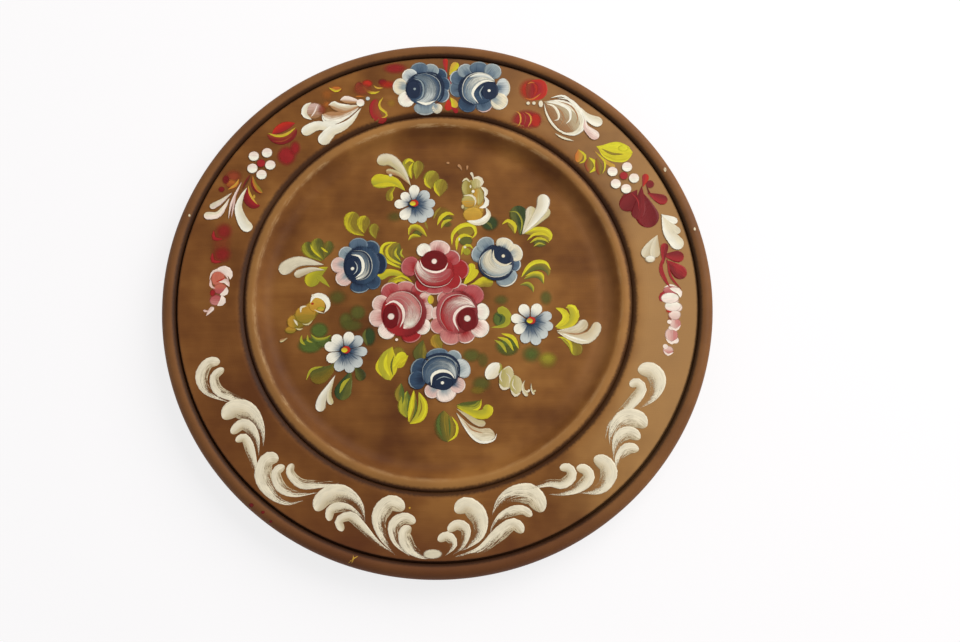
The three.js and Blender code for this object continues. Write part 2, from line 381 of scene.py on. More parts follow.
def front_section():
    """Edge bead, outer groove, rim field, inner groove, lip, cove and floor."""
    outer_groove = (outer_groove_radius, outer_groove_bottom)
    field_outer = (field_outer_radius, field_outer_top)
    field_inner = (field_inner_radius, field_inner_top)
    field_middle = (
        (field_outer_radius + field_inner_radius) / 2,
        (field_outer_top + field_inner_top) / 2 - FIELD_HOLLOW,
    )
    outer_shoulder = (field_outer_radius, field_outer_top - OUTER_GROOVE_STEEP / 2)
    inner_shoulder = (inner_groove_radius + INNER_GROOVE_SLOPE / 3, field_inner_top)
    inner_groove = (inner_groove_radius, inner_groove_bottom)
    lip_crest = (lip_radius, lip_top)
    cove_roll = (lip_radius - COVE_ROLL, lip_top)
    cove_sweep = (well_radius + COVE_SWEEP, well_floor)
    floor_edge = (well_radius, well_floor)
    return chained(
        arc((bead_crest_radius, bead_middle), BEAD_CREST_INSET, BEAD_THICKNESS / 2, -1, 1, steps=36),
        arc((bead_crest_radius, outer_groove_bottom), BEAD_WIDTH - BEAD_CREST_INSET,
            BEAD_TOP - outer_groove_bottom, 1, 2, steps=16),
        bend(outer_groove, outer_shoulder, field_outer, steps=6),
        bend(field_outer, field_middle, field_inner, steps=12),
        bend(field_inner, inner_shoulder, inner_groove, steps=12),
        arc((lip_radius, inner_groove_bottom), LIP_WIDTH, lip_top - inner_groove_bottom, 0, 1, steps=16),
        sweep(lip_crest, cove_roll, cove_sweep, floor_edge, steps=24),
        straight(floor_edge, (0, well_floor)),
    )


# Geometry Nodes

HUB_RADIUS = 0.001  # metres
WELD_DISTANCE = 1e-6  # metres
BODY_CREASE = math.radians(40)


class Recipe(Graph):
    """A Geometry Nodes tree with named inputs. It ends in Realize Instances and Set Material."""

    def __init__(self, name, inputs):
        super().__init__(bpy.data.node_groups.new(name, "GeometryNodeTree"))
        for title, kind in {"Geometry": "Geometry", **inputs, "Material": "Material"}.items():
            self.tree.interface.new_socket(title, in_out="INPUT", socket_type=f"NodeSocket{kind}")
        self.tree.interface.new_socket("Geometry", in_out="OUTPUT", socket_type="NodeSocketGeometry")
        self.given = self.tree.nodes.new("NodeGroupInput")

    def given_value(self, title):
        return Value(self, self.given.outputs[title])

    def attribute(self, name, kind="FLOAT"):
        return self.node("GeometryNodeInputNamedAttribute", {"data_type": kind}, {"Name": name})

    def stored(self, geometry, name, value):
        return self.node("GeometryNodeStoreNamedAttribute", {"data_type": "FLOAT", "domain": "POINT"}, {
            "Geometry": geometry, "Name": name, "Value": value,
        })

    def creased(self, geometry, angle):
        """Smooth shading that stays sharp where two faces meet at more than angle."""
        smooth = self.node("GeometryNodeSetShadeSmooth", {"domain": "FACE"}, {
            "Geometry": geometry, "Shade Smooth": True,
        })
        steep = self.node("GeometryNodeInputMeshEdgeAngle") > angle
        return self.node("GeometryNodeSetShadeSmooth", {"domain": "EDGE"}, {
            "Geometry": smooth, "Selection": steep, "Shade Smooth": False,
        })

    def finish(self, geometry):
        solid = self.node("GeometryNodeRealizeInstances", {}, {"Geometry": geometry})
        painted = self.node("GeometryNodeSetMaterial", {}, {
            "Geometry": solid, "Material": self.given_value("Material"),
        })
        out = self.tree.nodes.new("NodeGroupOutput")
        self.tree.links.new(painted.socket, out.inputs["Geometry"])


def grown(name, seed, recipe, values):
    """Runs a recipe on a mesh and leaves the result as a plain object."""
    obj = bpy.data.objects.new(name, seed)
    bpy.context.scene.collection.objects.link(obj)
    modifier = obj.modifiers.new(name, "NODES")
    modifier.node_group = recipe.tree
    for item in recipe.tree.interface.items_tree:
        if item.in_out == "INPUT" and item.name in values:
            modifier[item.identifier] = values[item.name]
    depsgraph = bpy.context.evaluated_depsgraph_get()
    result = bpy.data.meshes.new_from_object(
        obj.evaluated_get(depsgraph), preserve_all_data_layers=True, depsgraph=depsgraph,
    )
    obj.modifiers.clear()
    obj.data = result
    return obj


def face_outwards(obj):
    """Turns the faces so that they all point out."""
    mesh = bmesh.new()
    mesh.from_mesh(obj.data)
    bmesh.ops.recalc_face_normals(mesh, faces=mesh.faces)
    mesh.to_mesh(obj.data)
    mesh.free()


def polyline(name, points):
    """A mesh of points in millimetres, joined by edges from each to the next."""
    mesh = bpy.data.meshes.new(name)
    places = [(x * MM, y * MM, 0) for x, y in points]
    edges = [(i, i + 1) for i in range(len(points) - 1)]
    mesh.from_pydata(places, edges, [])
    return mesh


def turning_recipe():
    """Turns a half section about Z: the section's X is the radius and its Y the height.

    The section is swept round a small circle, the hub, and lies nearer to Z by the hub's radius.
    """
    recipe = Recipe("turning", {"Segments": "Int", "Crease": "Float"})
    section = recipe.node("GeometryNodeMeshToCurve", {}, {"Mesh": recipe.given_value("Geometry")})
    x, y, _ = recipe.parts(recipe.node("GeometryNodeInputPosition"))
    shifted = recipe.node("GeometryNodeSetPosition", {}, {
        "Geometry": section, "Position": recipe.point(x - HUB_RADIUS, -y, 0.0),
    })
    ring = recipe.node("GeometryNodeCurvePrimitiveCircle", {"mode": "RADIUS"}, {
        "Resolution": recipe.given_value("Segments"), "Radius": HUB_RADIUS,
    })
    upright = recipe.node("GeometryNodeSetCurveNormal", {"mode": "Z_UP"}, {"Curve": ring})
    shell = recipe.node("GeometryNodeCurveToMesh", {}, {
        "Curve": upright, "Profile Curve": shifted, "Scale": 1.0, "Fill Caps": False,
    })
    welded = recipe.node("GeometryNodeMergeByDistance", {"mode": "ALL"}, {
        "Geometry": shell, "Distance": WELD_DISTANCE,
    })
    recipe.finish(recipe.creased(welded, recipe.given_value("Crease")))
    return recipe


TURNING = turning_recipe()


def turned(name, section, segments, material):
    """A solid turned about Z from a half section in millimetres."""
    obj = grown(name, polyline(name, section), TURNING, {
        "Segments": segments, "Crease": BODY_CREASE, "Material": material,
    })
    face_outwards(obj)
    return obj


# Wood and metal

RIM_BLEND = (100.0, 112.0)  # radii between which the painted light on the rim comes in
BEAD_BLEND = (137.0, 139.5)  # radii between which the bead's stain comes in
FRONT_HEIGHT = 10.0  # wood that lies higher belongs to the front


def millimetres(graph):
    """Object coordinates in millimetres."""
    place = graph.node("ShaderNodeTexCoord", output=3)
    return graph.node("ShaderNodeVectorMath", {"operation": "SCALE"}, {"Vector": place, "Scale": 1 / MM})


def wood_material():
    """Fine-grained wood with a brown stain, darker in the grooves, under a satin varnish. Its colour also carries
    painted light to the right and upper right, and painted shade to the lower left, towards the bottom and on the cove
    wall.
    """
    material, graph = new_material("stained_wood")
    x, y, z = graph.parts(millimetres(graph))
    radius = (x * x + y * y) ** 0.5
    waver = graph.noise(graph.point(x * 0.02, y * 0.05, z * 0.05), detail=2) * 5.0
    bands = graph.noise(graph.point(x * 0.008, y * 0.17 + waver * 0.1, z * 0.2), detail=4, roughness=0.6)
    fibres = graph.noise(graph.point(x * 0.045, y * 1.9 + waver, z * 1.9), detail=3, roughness=0.65)
    pores = graph.noise(graph.point(x * 0.22, y * 5.0 + waver, z * 5.0), detail=1)
    blotches = graph.noise(graph.point(x * 0.03, y * 0.03, z * 0.03), detail=3, roughness=0.55)
    front = z > FRONT_HEIGHT
    bead = graph.smooth(radius, *BEAD_BLEND)
    rim = graph.smooth(radius, *RIM_BLEND) * (1.0 - bead)
    # painted light and shade: grows towards the upper right and falls towards the lower left
    painted_light_lean = x * 0.0045 + y * 0.0022
    # painted light on the right side, broken up by the blotches
    painted_light_right = graph.smooth(x + (blotches - 0.5) * 60.0, 45.0, 125.0)
    cove = graph.smooth(abs(radius - lip_radius + 10.0), 7.0, 1.0)
    lip = graph.smooth(abs(radius - lip_radius - 0.3), 3.4, 1.4)
    ragged = (graph.noise(graph.point(x * 0.7, y * 0.7, z), detail=3) - 0.5) * 1.6
    outer = graph.smooth(abs(radius - outer_groove_radius - 0.1) + ragged * 0.4, 2.2, 0.7)
    inner = graph.smooth(abs(radius - inner_groove_radius - 0.4) + ragged, 3.1, 1.0)
    # darker along the cove wall: stain, and painted shade in the hollow
    cove_stain_and_shade = graph.smooth(abs(radius - lip_radius + 7.5) + ragged, 6.5, 2.0) * 0.14
    around = graph.math("ARCTAN2", y, x)
    scuffs = graph.noise(graph.point(around * 22.0, radius * 1.3, 0.0), detail=5, roughness=0.75)
    worn_side = graph.smooth(x * 0.7 - y * 0.5, 30.0, -25.0, 0.35, 1.0)
    lost = graph.noise(graph.point(x * 0.07, y * 0.07, 0.0), detail=2)
    worn = graph.smooth(abs(radius - lip_radius + 1.8 + ragged * 0.6), 1.6, 0.2) * worn_side
    worn = worn * graph.smooth(scuffs * 0.5 + lost * 0.5, 0.46, 0.6)
    base = graph.ramp(bands * 0.14 + fibres * 0.06 + blotches * 0.80, [
        (0.34, srgb(92, 52, 22)), (0.46, srgb(114, 70, 30)),
        (0.54, srgb(128, 81, 36)), (0.66, srgb(148, 99, 47)),
    ])
    # Each colour lies over those before it and covers them by its share. Some are the wood's own stains and wear;
    # others are painted light on the right and upper right, painted shade on the lower left and towards the bottom, and
    # stain with painted shade on the cove wall.
    for share, stain in (
        (graph.smooth(pores, 0.68, 0.84) * 0.14, (78, 42, 20)),
        # painted light on the right of the rim
        (painted_light_right * rim * 0.75, (180, 136, 80)),
        # painted light on the rim towards the upper right
        (graph.smooth(painted_light_lean, 0.1, 0.5) * rim * 0.3, (150, 112, 76)),
        # painted shade towards the lower left
        (graph.smooth(painted_light_lean, -0.1, -0.7) * 0.4, (98, 54, 26)),
        (bead * 0.55, (122, 82, 50)),
        # painted light on the right of the cove
        (cove * painted_light_right * 0.5, (160, 112, 72)),
        # painted shade, darker towards the bottom
        (graph.smooth(y, -95.0, -140.0) * 0.6, (86, 44, 24)),
        (lip * front * 0.45, (176, 128, 72)),
        (outer * front * 0.88, (46, 26, 15)),
        (inner * front * 0.85, (50, 27, 15)),
        # stain and painted shade on the cove wall
        (cove_stain_and_shade * front, (92, 52, 26)),
        (worn * front * 0.55, (186, 150, 104)),
    ):
        base = graph.mix(share, base, srgb(*stain))
    rings = graph.noise(graph.point(radius * 1.6, z * 0.4, 0.0), detail=3, roughness=0.7)
    height = fibres * 0.35 + pores * 0.25 + rings * 0.4
    finish_surface(graph, {
        "Base Color": base,
        "Roughness": graph.smooth(fibres + blotches * 0.5, 0.4, 1.1, 0.46, 0.62),
        "Specular IOR Level": 0.12, "Coat Weight": 0.01, "Coat Roughness": 0.3,
        "Normal": bump(graph, height, 0.00012),
    })
    return material


def metal_material(name, bright, dull, roughness, tarnish):
    """Metal with fine scratches that is duller in its patches of tarnish."""
    material, graph = new_material(name)
    place = millimetres(graph)
    x, y, z = graph.parts(place)
    patches = graph.noise(place, scale=0.35, detail=4, roughness=0.6)
    scratches = graph.noise(graph.point(x * 9.0, y * 0.8, z * 2.0), detail=3, roughness=0.7)
    worn = graph.smooth(patches, 0.42, 0.68) * tarnish
    finish_surface(graph, {
        "Base Color": graph.mix(worn, bright, dull), "Metallic": 1.0,
        "Roughness": worn * 0.25 + scratches * 0.15 + (roughness - 0.08),
        "Normal": bump(graph, scratches, 0.00002),
    })
    return material


# Paint. A stroke carries its colours on both sides and the brush's manner as attributes.

PAINTS = {
    "throat": (110, 16, 20), "wine": (124, 28, 30), "red": (158, 36, 38), "scarlet": (186, 44, 28),
    "rose": (176, 84, 84), "pink": (196, 124, 116), "blush": (222, 186, 172), "petal": (242, 222, 206),
    "white": (242, 236, 216), "ivory": (226, 214, 184), "cream": (232, 220, 192), "straw": (205, 190, 140),
    "navy": (30, 42, 64), "blue": (52, 72, 94), "slate": (88, 106, 122), "mist": (142, 154, 156),
    "pearl": (198, 202, 196), "leaf": (206, 190, 38), "lime": (172, 164, 46), "olive": (144, 122, 40),
    "green": (98, 98, 42), "forest": (54, 72, 38), "ochre": (190, 142, 48), "gold": (202, 158, 58),
    "amber": (196, 112, 44), "umber": (92, 54, 28), "tan": (176, 128, 84), "sun": (216, 206, 42),
    "rust": (150, 66, 38), "chalk": (222, 206, 172), "sand": (204, 185, 148), "salmon": (196, 106, 84),
    "celery": (178, 164, 96), "moss": (88, 104, 44),
}

LAYER = 0.005  # millimetres between one stroke and the next
CROWN = 0.004  # the same, from a stroke's edge to its middle
SINK = 0.25  # how far a stroke's underside lies in the wood
TIP = 0.03  # half width of a pointed end
BRUSH_SIDES = 16
LID_START = 0.01  # where a stroke's upper side starts on the brush's loop, whose radius is 1
STROKE_CREASE = math.radians(65)
PATH_HEIGHT = 0.02  # metres, of a stroke's path before it is draped
DROP_HEIGHT = 0.1  # metres, from where its points drop on the plate
DROP_LENGTH = 0.2


def brush_recipe():
    """Sweeps a lens along each stroke and drapes it on the plate."""
    recipe = Recipe("brush", {"Plate": "Object", "Sides": "Int"})
    position = recipe.node("GeometryNodeInputPosition")
    half = recipe.attribute("half")
    dots = recipe.node("GeometryNodeMeshToPoints", {"mode": "VERTICES"}, {
        "Mesh": recipe.given_value("Geometry"),
    })
    paths = recipe.node("GeometryNodePointsToCurves", {}, {
        "Points": dots, "Curve Group ID": recipe.attribute("stroke", "INT"),
        "Weight": recipe.attribute("along"),
    })
    upright = recipe.node("GeometryNodeSetCurveNormal", {"mode": "Z_UP"}, {"Curve": paths})
    loop = recipe.node("GeometryNodeCurvePrimitiveCircle", {"mode": "RADIUS"}, {
        "Resolution": recipe.given_value("Sides"), "Radius": 1.0,
    })
    x, y, _ = recipe.parts(position)
    loop = recipe.stored(recipe.stored(loop, "across", x), "lid", -y)
    tube = recipe.node("GeometryNodeCurveToMesh", {}, {
        "Curve": upright, "Profile Curve": loop, "Scale": half, "Fill Caps": True,
    })
    plate = recipe.node("GeometryNodeObjectInfo", {"transform_space": "RELATIVE"}, {
        "Object": recipe.given_value("Plate"),
    }, output=4)
    source = recipe.point(x, y, DROP_HEIGHT)
    hit = recipe.node("GeometryNodeRaycast", {"data_type": "FLOAT"}, {
        "Target Geometry": plate, "Source Position": source,
        "Ray Direction": (0, 0, -1), "Ray Length": DROP_LENGTH,
    })
    ground = recipe.parts(Value(recipe, hit.socket.node.outputs["Hit Position"]))[2]
    across = recipe.attribute("across")
    is_lid = recipe.attribute("lid") > LID_START
    swell = recipe.attribute("crown") * (1.0 - across * across)
    above = recipe.attribute("rise") + swell + SINK * MM
    draped = recipe.node("GeometryNodeSetPosition", {}, {
        "Geometry": tube, "Position": recipe.point(x, y, ground - SINK * MM + is_lid * above),
    })
    recipe.finish(recipe.creased(draped, STROKE_CREASE))
    return recipe


BRUSH = brush_recipe()


def paint_material(name):
    """Paint as a brush leaves it: two colours that run in streaks, thin at dry tails and soft edges."""
    material, graph = new_material(name)

    def attribute(title, output=2):
        return graph.node("ShaderNodeAttribute", {"attribute_name": title}, output=output)

    def colour_and_opacity(title):
        value = attribute(title, 0)
        return value, Value(graph, value.socket.node.outputs["Alpha"])

    first, first_opacity = colour_and_opacity("paint_a")
    second, second_opacity = colour_and_opacity("paint_b")
    across = attribute("across")
    along = attribute("along")
    flow, streak, dry = graph.parts(attribute("manner", 1))
    soft, seed, length = graph.parts(attribute("touch", 1))
    oval, widest, bias = graph.parts(attribute("form", 1))
    breadth = attribute("half") / MM
    side = across * breadth
    run = along * length
    bristles = graph.noise(graph.point(side * 2.6, run * 0.16, seed), detail=3, roughness=0.6)
    grains = graph.noise(graph.point(side * 3.4, run * 1.1, seed + 40.0), detail=2, roughness=0.7)
    clouds = graph.noise(graph.point(side * 0.35, run * 0.25, seed + 80.0), detail=2)
    sideways = across * 0.5 + 0.5
    outward = (across * across * 0.75 + along * along) ** 0.5
    is_outward = graph.math("MAXIMUM", flow, 0.0)
    is_lengthwise = graph.math("MAXIMUM", -flow, 0.0)
    share = sideways * (1.0 - is_outward - is_lengthwise) + outward * is_outward + along * is_lengthwise
    turn = graph.smooth(share + (bristles - 0.5) * streak + (clouds - 0.5) * 0.3 - bias, -0.32, 0.32)
    colour = graph.mix(turn, first, second)
    shade = graph.smooth(bristles * 0.6 + clouds * 0.4, 0.3, 0.7, 0.84, 1.08)
    colour = graph.node("ShaderNodeVectorMath", {"operation": "SCALE"}, {"Vector": colour, "Scale": shade})
    opacity = first_opacity * (1.0 - turn) + second_opacity * turn
    sidestep = across * breadth / widest
    lengthwise = along * 2.0 - 1.0
    from_middle = (sidestep * sidestep + lengthwise * lengthwise) ** 0.5
    to_edge = abs(across) * (1.0 - oval) + from_middle * oval
    edge = graph.smooth(to_edge + (grains - 0.5) * 0.25, 1.0 - soft, 1.0 + soft * 0.05, 1.0, 0.0)
    lack = 1.0 - opacity
    thirst = dry * (0.12 + along * 0.88 + lack * 0.8)
    ink = graph.smooth(abs(across), 0.62, 0.92) * 0.12
    cover = graph.smooth(bristles * 0.45 + grains * 0.55 + 0.40 + ink - thirst * 0.66, 0.28, 0.52)
    alpha = (1.0 - lack * (1.0 - dry)) * edge * cover
    ridge = graph.smooth(abs(across), 0.6, 0.9) * 0.4
    finish_surface(graph, {
        "Base Color": colour, "Roughness": 0.45, "Alpha": alpha,
        "Specular IOR Level": 0.16, "Coat Weight": 0.02, "Coat Roughness": 0.25,
        "Normal": bump(graph, bristles * 0.8 + grains * 0.3 + ridge, 0.00008),
    })
    return material


SPLINE_STEPS = 16  # from one knot of a path to the next
STROKE_POINTS = (9, 24)  # the fewest and the most along a stroke
POINT_SPACING = 1.1  # millimetres
PATCH_POINTS = 17
BETWEEN_POINTS = 9


def shares(count):
    """Shares of a way from 0 to 1 that lie closer together towards both ends."""
    return 0.5 - 0.5 * np.cos(np.linspace(0, math.pi, count))


def spline(points, count):
    """A smooth path through points, as count places that lie closer together towards both ends."""
    knots = np.array(points, float)
    if len(knots) == 2:
        knots = np.array([knots[0], knots.mean(0), knots[1]])
    padded = np.vstack([2 * knots[0] - knots[1], knots, 2 * knots[-1] - knots[-2]])
    fine = []
    for k in range(len(knots) - 1):
        p0, p1, p2, p3 = padded[k:k + 4]
        t = np.linspace(0, 1, SPLINE_STEPS, endpoint=False)[:, None]
        fine.append(0.5 * (2 * p1 + (p2 - p0) * t + (2 * p0 - 5 * p1 + 4 * p2 - p3) * t ** 2
                           + (3 * p1 - p0 - 3 * p2 + p3) * t ** 3))
    fine = np.vstack(fine + [knots[-1:]])
    lengths = np.r_[0, np.cumsum(np.hypot(*np.diff(fine, axis=0).T))]
    wanted = shares(count) * lengths[-1]
    return np.c_[np.interp(wanted, lengths, fine[:, 0]), np.interp(wanted, lengths, fine[:, 1])], lengths[-1]


# Widths of a stroke as shares of its full width, at the shares s of its length. A round head takes up
# round_share of the length.

def round_head(s, round_share):
    return np.sqrt(np.clip(1 - (1 - np.minimum(s / round_share, 1)) ** 2, 0, 1))


def comma_widths(s, round_share):
    tail = np.clip(1 - np.clip((s - round_share) / (1 - round_share), 0, 1) ** 1.3, 0, 1) ** 0.9
    return round_head(s, round_share) * tail


def crescent_widths(s, round_share):
    return np.sin(math.pi * s) ** 0.8


def oval_widths(s, round_share):
    return np.sqrt(np.clip(1 - (2 * s - 1) ** 2, 0, 1))


def scroll_widths(s, round_share):
    swell = 0.72 + 0.28 * np.clip(s / 0.35, 0, 1)
    return round_head(s, round_share) * swell * (1 - np.clip((s - 0.35) / 0.65, 0, 1) ** 1.15)


def laid(path, s, halves, paints, streak=0.5, dry=0.0, soft=0.12, flow=0, bias=0.5, opacity=(1, 1),
         crown=1.0, oval=False):
    """One stroke of the brush along a path, in one paint or from one to another.

    The paints go from left to right where flow is 0, from the root to the rim where it is 1, and from
    head to tail where it is -1. They change at bias, a share of the way.
    """
    names = paints.split()
    widest = halves.max()
    return {
        "path": path, "along": s, "half": np.maximum(halves, TIP),
        "length": np.hypot(*np.diff(path, axis=0).T).sum(),
        "paint_a": srgb(*PAINTS[names[0]], opacity[0]), "paint_b": srgb(*PAINTS[names[-1]], opacity[1]),
        "manner": (flow, streak, dry), "soft": soft, "crown": CROWN * min(1.0, widest / 2) * crown,
        "form": (float(oval), widest, bias),
    }


def pairs(coordinates):
    return list(zip(coordinates[::2], coordinates[1::2]))


def stroke(kind, paints, width, *coordinates, **manner):
    """A stroke through x, y pairs whose width follows one of the shapes above."""
    points = pairs(coordinates)
    reach = sum(math.dist(a, b) for a, b in zip(points, points[1:]))
    fewest, most = STROKE_POINTS
    count = int(min(most, max(fewest, reach / POINT_SPACING)))
    path, length = spline(points, count)
    s = shares(count)
    halves = kind(s, min(0.5, width / 2 / length)) * width / 2
    return laid(path, s, halves, paints, oval=kind is oval_widths, **manner)


def patch(paints, first, second, bias=0.5, opacity=(1, 1), **manner):
    """The area between two edges that run the same way, from the first edge's paint to the second's."""
    a, _ = spline(pairs(first), PATCH_POINTS)
    b, _ = spline(pairs(second), PATCH_POINTS)
    middle = (a + b) / 2
    s = shares(PATCH_POINTS)
    aside = a - middle
    halves = np.hypot(*aside.T) * np.sqrt(1 - np.abs(2 * s - 1) ** 6)
    ahead = np.gradient(middle, axis=0)
    first_on_right = np.sum(ahead[:, 0] * aside[:, 1] - ahead[:, 1] * aside[:, 0]) < 0
    if first_on_right and "flow" not in manner:
        paints = " ".join(reversed(paints.split()))
        bias, opacity = 1 - bias, opacity[::-1]
    return laid(middle, s, halves, paints, bias=bias, opacity=opacity, **manner)


def comma(paints, width, *coordinates, **manner):
    """A full head that runs out in a point."""
    return stroke(comma_widths, paints, width, *coordinates, **manner)


def crescent(paints, width, *coordinates, **manner):
    """Pointed at both ends."""
    return stroke(crescent_widths, paints, width, *coordinates, **manner)


def dot(paints, radius, x, y, **manner):
    return stroke(oval_widths, paints, radius * 2, x - radius, y, x + radius, y, **manner)


def dab(paints, width, height, x, y, **manner):
    """An upright oval of a given width and height."""
    if width > height:
        return stroke(oval_widths, paints, height, x - width / 2, y, x + width / 2, y, **manner)
    return stroke(oval_widths, paints, width, x, y - height / 2, x, y + height / 2, **manner)


def away_from(heart, width, height, x, y):
    """The direction from a heart to an oval's middle, and the oval's half sizes along it and across it."""
    away = np.array((x - heart[0], y - heart[1]), float)
    away /= np.hypot(*away)
    reach = math.hypot(away[0] * width / 2, away[1] * height / 2)
    spread = math.hypot(away[1] * width / 2, away[0] * height / 2)
    return away, reach, spread


def petal(paints, width, height, x, y, heart):
    """An oval stroke away from the flower's heart, and a thin pale line along its outer edge."""
    inner, outer, rim = paints.split()
    away, reach, spread = away_from(heart, width, height, x, y)
    reach, spread = reach * 0.94, spread * 1.05
    edge = []
    for turn in (-1.3, -0.65, 0, 0.65, 1.3):
        out, aside = reach * 0.9 * math.cos(turn), spread * 0.9 * math.sin(turn)
        edge += [x + away[0] * out - away[1] * aside, y + away[1] * out + away[0] * aside]
    return [
        stroke(oval_widths, f"{inner} {outer}", spread * 2, x - away[0] * reach, y - away[1] * reach,
               x + away[0] * reach, y + away[1] * reach, flow=1, streak=0.45, bias=0.52),
        crescent(rim, 1.0, *edge, soft=0.6, streak=0.6, opacity=(0.9, 0.9)),
    ]


def between(first, second, share):
    """The path that lies between two paths."""
    a, _ = spline(pairs(first), BETWEEN_POINTS)
    b, _ = spline(pairs(second), BETWEEN_POINTS)
    return tuple((a * (1 - share) + b * share).ravel())


def painted(name, slot, level, strokes, material):
    """One painted piece, laid on the plate from the stroke that was set first to the last."""
    rng = np.random.default_rng(sum(map(ord, name)))
    counts = [len(s["path"]) for s in strokes]
    seed = bpy.data.meshes.new(name)
    places = [(x * MM, y * MM, PATH_HEIGHT) for s in strokes for x, y in s["path"]]
    seed.from_pydata(places, [], [])

    def store(title, kind, field, values):
        layer = seed.attributes.new(title, kind, "POINT")
        layer.data.foreach_set(field, np.asarray(values, np.float32 if kind != "INT" else np.int32).ravel())

    def spread(values):
        return np.repeat(np.asarray(values, float), counts, axis=0)

    store("stroke", "INT", "value", np.repeat(np.arange(len(strokes)), counts))
    store("along", "FLOAT", "value", np.concatenate([s["along"] for s in strokes]))
    store("half", "FLOAT", "value", np.concatenate([s["half"] for s in strokes]) * MM)
    store("rise", "FLOAT", "value", spread([(level + 1 + k) * LAYER * MM for k in range(len(strokes))]))
    store("crown", "FLOAT", "value", spread([s["crown"] * MM for s in strokes]))
    for title, kind, field in (
        ("paint_a", "FLOAT_COLOR", "color"), ("paint_b", "FLOAT_COLOR", "color"),
        ("manner", "FLOAT_VECTOR", "vector"), ("form", "FLOAT_VECTOR", "vector"),
    ):
        store(title, kind, field, spread([s[title] for s in strokes]))
    store("touch", "FLOAT_VECTOR", "vector", spread([
        (s["soft"], rng.uniform(0, 60), s["length"]) for s in strokes
    ]))
    obj = grown(name, seed, BRUSH, {"Plate": plate_body, "Sides": BRUSH_SIDES, "Material": material})
    face_outwards(obj)
    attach(obj, "plate")
    return obj


# Plate, camera and stage

wood = wood_material()
plate_body = turned("turned_plate_body", chained(back_section(), front_section()), TURNED_SEGMENTS, wood)
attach(plate_body, "plate")
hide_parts("turned_plate")

add_camera()
add_stage()

brass = metal_material("strap_brass", (0.70, 0.53, 0.26, 1), (0.34, 0.22, 0.10, 1), 0.34, 0.7)
steel = metal_material("ring_steel", (0.66, 0.64, 0.60, 1), (0.32, 0.29, 0.25, 1), 0.30, 0.6)
screw_brass = metal_material("screw_brass", (0.72, 0.55, 0.28, 1), (0.36, 0.24, 0.11, 1), 0.30, 0.6)
for node, finish in (("hanger_strap", brass), ("hanger_ring", steel),
                     ("strap_screw_upper", screw_brass), ("strap_screw_lower", screw_brass)):
    fitting = bpy.data.objects[node]
    fitting.data.materials.clear()
    fitting.data.materials.append(finish)

# Motifs

def cup(body, throat, spot, rim, edge, dark, tones, light, fade, rim_width=1.5, rim_paint="petal",
        throat_paint="throat", turn=0.5):
    """A rose's cup: a dark body, its streaked bowl from rim to edge, then the throat, rim and spot.

    A light paint lies over the bowl. Its opacity is fade's first value at the start of the rim and fade's
    second at the rim's end, and it changes at turn, a share of the way.
    """
    strokes = [
        dab(dark, *body, soft=0.12, streak=0.8),
        patch(tones, rim, edge, streak=0.7, soft=0.3, bias=0.55),
        patch(light, rim, between(rim, edge, 0.9), flow=-1, streak=0.6, soft=0.8, opacity=fade, bias=turn),
    ]
    for share in (0.35, 0.65):
        strokes.append(crescent(light, 0.6, *between(rim, edge, share), flow=-1, soft=0.8, streak=1.0,
                                dry=0.3, opacity=(fade[0] * 0.3, fade[1] * 0.3)))
    strokes.append(crescent(light, 0.7, *edge, soft=0.7, opacity=(0.75, 0.75)))
    strokes.append(dab(throat_paint, *throat, soft=0.12, streak=0.3))
    strokes.append(crescent(rim_paint, rim_width, *rim, soft=0.3))
    strokes.append(dot(rim_paint, spot[2], *spot[:2], soft=0.4))
    return strokes


def petals(heart, *rows):
    """Petals around a heart, each as its paints, width, height and place."""
    return [s for paints, width, height, x, y in rows for s in petal(paints, width, height, x, y, heart)]


def daisy(x, y, *rows):
    """Drops of white, bluer away from the light, around a dark eye with a red and yellow centre."""
    strokes = []
    for width, height, px, py in rows:
        away, reach, spread = away_from((x, y), width, height, px, py)
        head = (px + away[0] * reach, py + away[1] * reach)
        root = (x + away[0] * 1.5, y + away[1] * 1.5)
        shaded = away[0] * 0.8 - away[1] * 0.6 > 0.15
        strokes.append(comma("pearl blue" if shaded else "white slate", spread * 2 * 1.05, *head, *root,
                             flow=-1, streak=0.6, bias=0.5 if shaded else 0.66, soft=0.15))
        if shaded:
            strokes.append(crescent("slate", 0.9, px - away[1] * 1.4, py + away[0] * 1.4, *root,
                                    soft=0.8, opacity=(0.7, 0.7)))
    return strokes + [
        dab("blue", 7.4, 7, x + 0.3, y - 0.3, soft=0.9, opacity=(0.8, 0.8)),
        dab("navy", 6.0, 5.8, x - 0.3, y, soft=0.5), dab("scarlet", 5.0, 4.6, x + 0.7, y + 0.5, soft=0.3),
        dab("gold sun", 3.6, 3.0, x - 0.2, y + 0.3, soft=0.25),
    ]


def ring_of_dots(x, y, *places):
    """Five white dots around a red one."""
    whites = [dot("petal white", 2.9, *place, soft=0.15) for place in places]
    return whites + [dot("red", 2.4, x, y, soft=0.2)]


def leaf(paints, width, *path, **manner):
    """A comma whose brush carries the brighter paint along one side."""
    bright_left = paints.split()[0] in ("leaf", "lime")
    return comma(paints, width, *path, **{
        "bias": 0.3 if bright_left else 0.7, "streak": 0.7, "soft": 0.25,
        "opacity": (1, 0.85) if bright_left else (0.85, 1), **manner,
    })


def feather(paints, width, *path):
    """A pale comma, thin enough to let the wood through."""
    return comma(paints, width, *path, streak=1.0, dry=0.55, soft=0.3, opacity=(0.95, 0.75))


